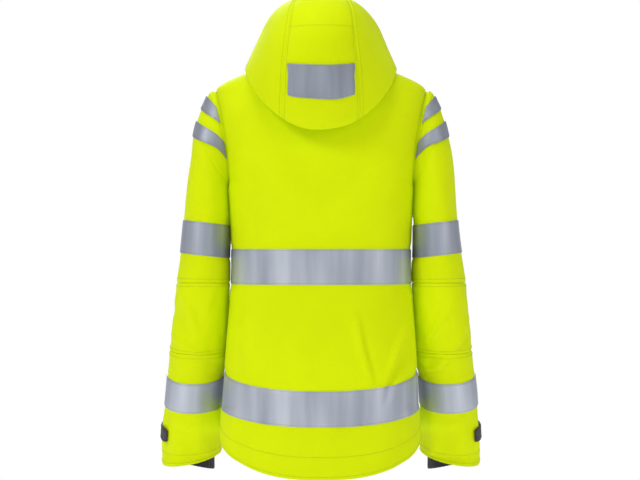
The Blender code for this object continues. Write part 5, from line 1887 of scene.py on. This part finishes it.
@dataclass
class Studio:
    """A pale round floor in white air, four soft lights and the camera.

    The jacket hangs by its loop, so the floor lies well under the hem.

    Attributes:
        floor: Height of the floor.
        reach: Radius of the floor.
        aim: What the camera looks at.
        away: Distance from the camera to the middle of the jacket.
        lens: Focal length, millimetres.
    """

    floor: float = -1.35
    reach: float = 3.6
    aim: Vec = (0.002, -0.0475, -0.346)
    away: float = 5.0
    lens: float = 148.0

    def build(self) -> None:
        """Makes the studio."""
        bpy.context.scene.view_settings.view_transform = "Standard"
        self.build_paper()
        self.build_lights()
        self.build_camera()

    def build_paper(self) -> None:
        """Makes the round sheet of paper on the floor."""
        turn = np.linspace(0, 2 * math.pi, 97)[:-1]
        points = [(self.reach * math.cos(a), self.reach * math.sin(a), self.floor) for a in turn]
        mesh = bpy.data.meshes.new("studio_paper")
        mesh.from_pydata(points, [], [tuple(range(len(points)))])
        mesh.materials.append(PAPER.material())
        paper = bpy.data.objects.new("studio_paper", mesh)
        bpy.context.scene.collection.objects.link(paper)
        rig.stage(paper)

    def build_lights(self) -> None:
        """Adds the soft lights and the air, which looks white and lights the cloth less."""
        self.light("key", (2.8, 3.0, 2.7), 1.5, 80.0)
        self.light("fill", (-3.0, 3.2, 1.8), 2.0, 30.0)
        self.light("front", (0.6, -3.6, 1.6), 2.0, 66.0)
        self.light("crown", (0.3, 0.3, 3.0), 1.4, 30.0)
        world = bpy.data.worlds.new("studio_air")
        world.use_nodes = True
        tree = world.node_tree
        seen = add_node(tree, "ShaderNodeLightPath").outputs["Is Camera Ray"]
        strength = add_node(tree, "ShaderNodeMapRange", Value=seen)
        strength.inputs["To Min"].default_value = 0.46
        strength.inputs["To Max"].default_value = 1.0
        back = tree.nodes["Background"]
        back.inputs["Color"].default_value = (1.0, 1.0, 1.0, 1.0)
        tree.links.new(strength.outputs[0], back.inputs["Strength"])
        bpy.context.scene.world = world

    def light(self, name: str, place: Vec, size: float, watts: float) -> None:
        """Adds one square soft light that faces the jacket."""
        lamp = bpy.data.lights.new(name, "AREA")
        lamp.shape, lamp.size, lamp.energy = "SQUARE", size, watts
        obj = bpy.data.objects.new(name, lamp)
        obj.location = place
        way = Vector(self.aim) - Vector(place)
        obj.rotation_euler = way.to_track_quat("-Z", "Y").to_euler()
        obj.visible_camera = False
        bpy.context.scene.collection.objects.link(obj)

    def build_camera(self) -> None:
        """Adds the camera behind the wearer, level with the middle of the jacket."""
        data = bpy.data.cameras.new("camera")
        data.lens, data.sensor_width = self.lens, 36.0
        data.clip_end = 60.0
        camera = bpy.data.objects.new("camera", data)
        camera.location = (self.aim[0], self.aim[1] + self.away, self.aim[2])
        camera.rotation_euler = (math.pi / 2, 0.0, math.pi)
        bpy.context.scene.collection.objects.link(camera)
        bpy.context.scene.camera = camera


def write_sizes(before: Sequence[Sequence[float]], after: Sequence[Sequence[float]]) -> None:
    """Writes the CAD box and the visual model's box."""
    with open("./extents.json", "w", encoding="utf-8") as out:
        json.dump({"cad": [list(p) for p in before], "visual": [list(p) for p in after]}, out)


def main() -> None:
    """Builds the jacket and the studio round the frame."""
    logging.basicConfig(level=logging.INFO, format="%(name)s: %(message)s")
    cad_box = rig.bounds()
    folds, torso = Folds(), TorsoShape()
    BodyPanels(torso, folds).build()
    FrontZip(torso).build()
    PocketZips(torso).build()
    HangerLoop().build()
    sleeve = SleeveShape(torso)
    for side in Side:
        SleeveSet(side, sleeve, folds).build()
    HoodSet(HoodShape(), folds).build()
    Studio().build()
    write_sizes(cad_box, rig.bounds())


if __name__ == "__main__":
    main()
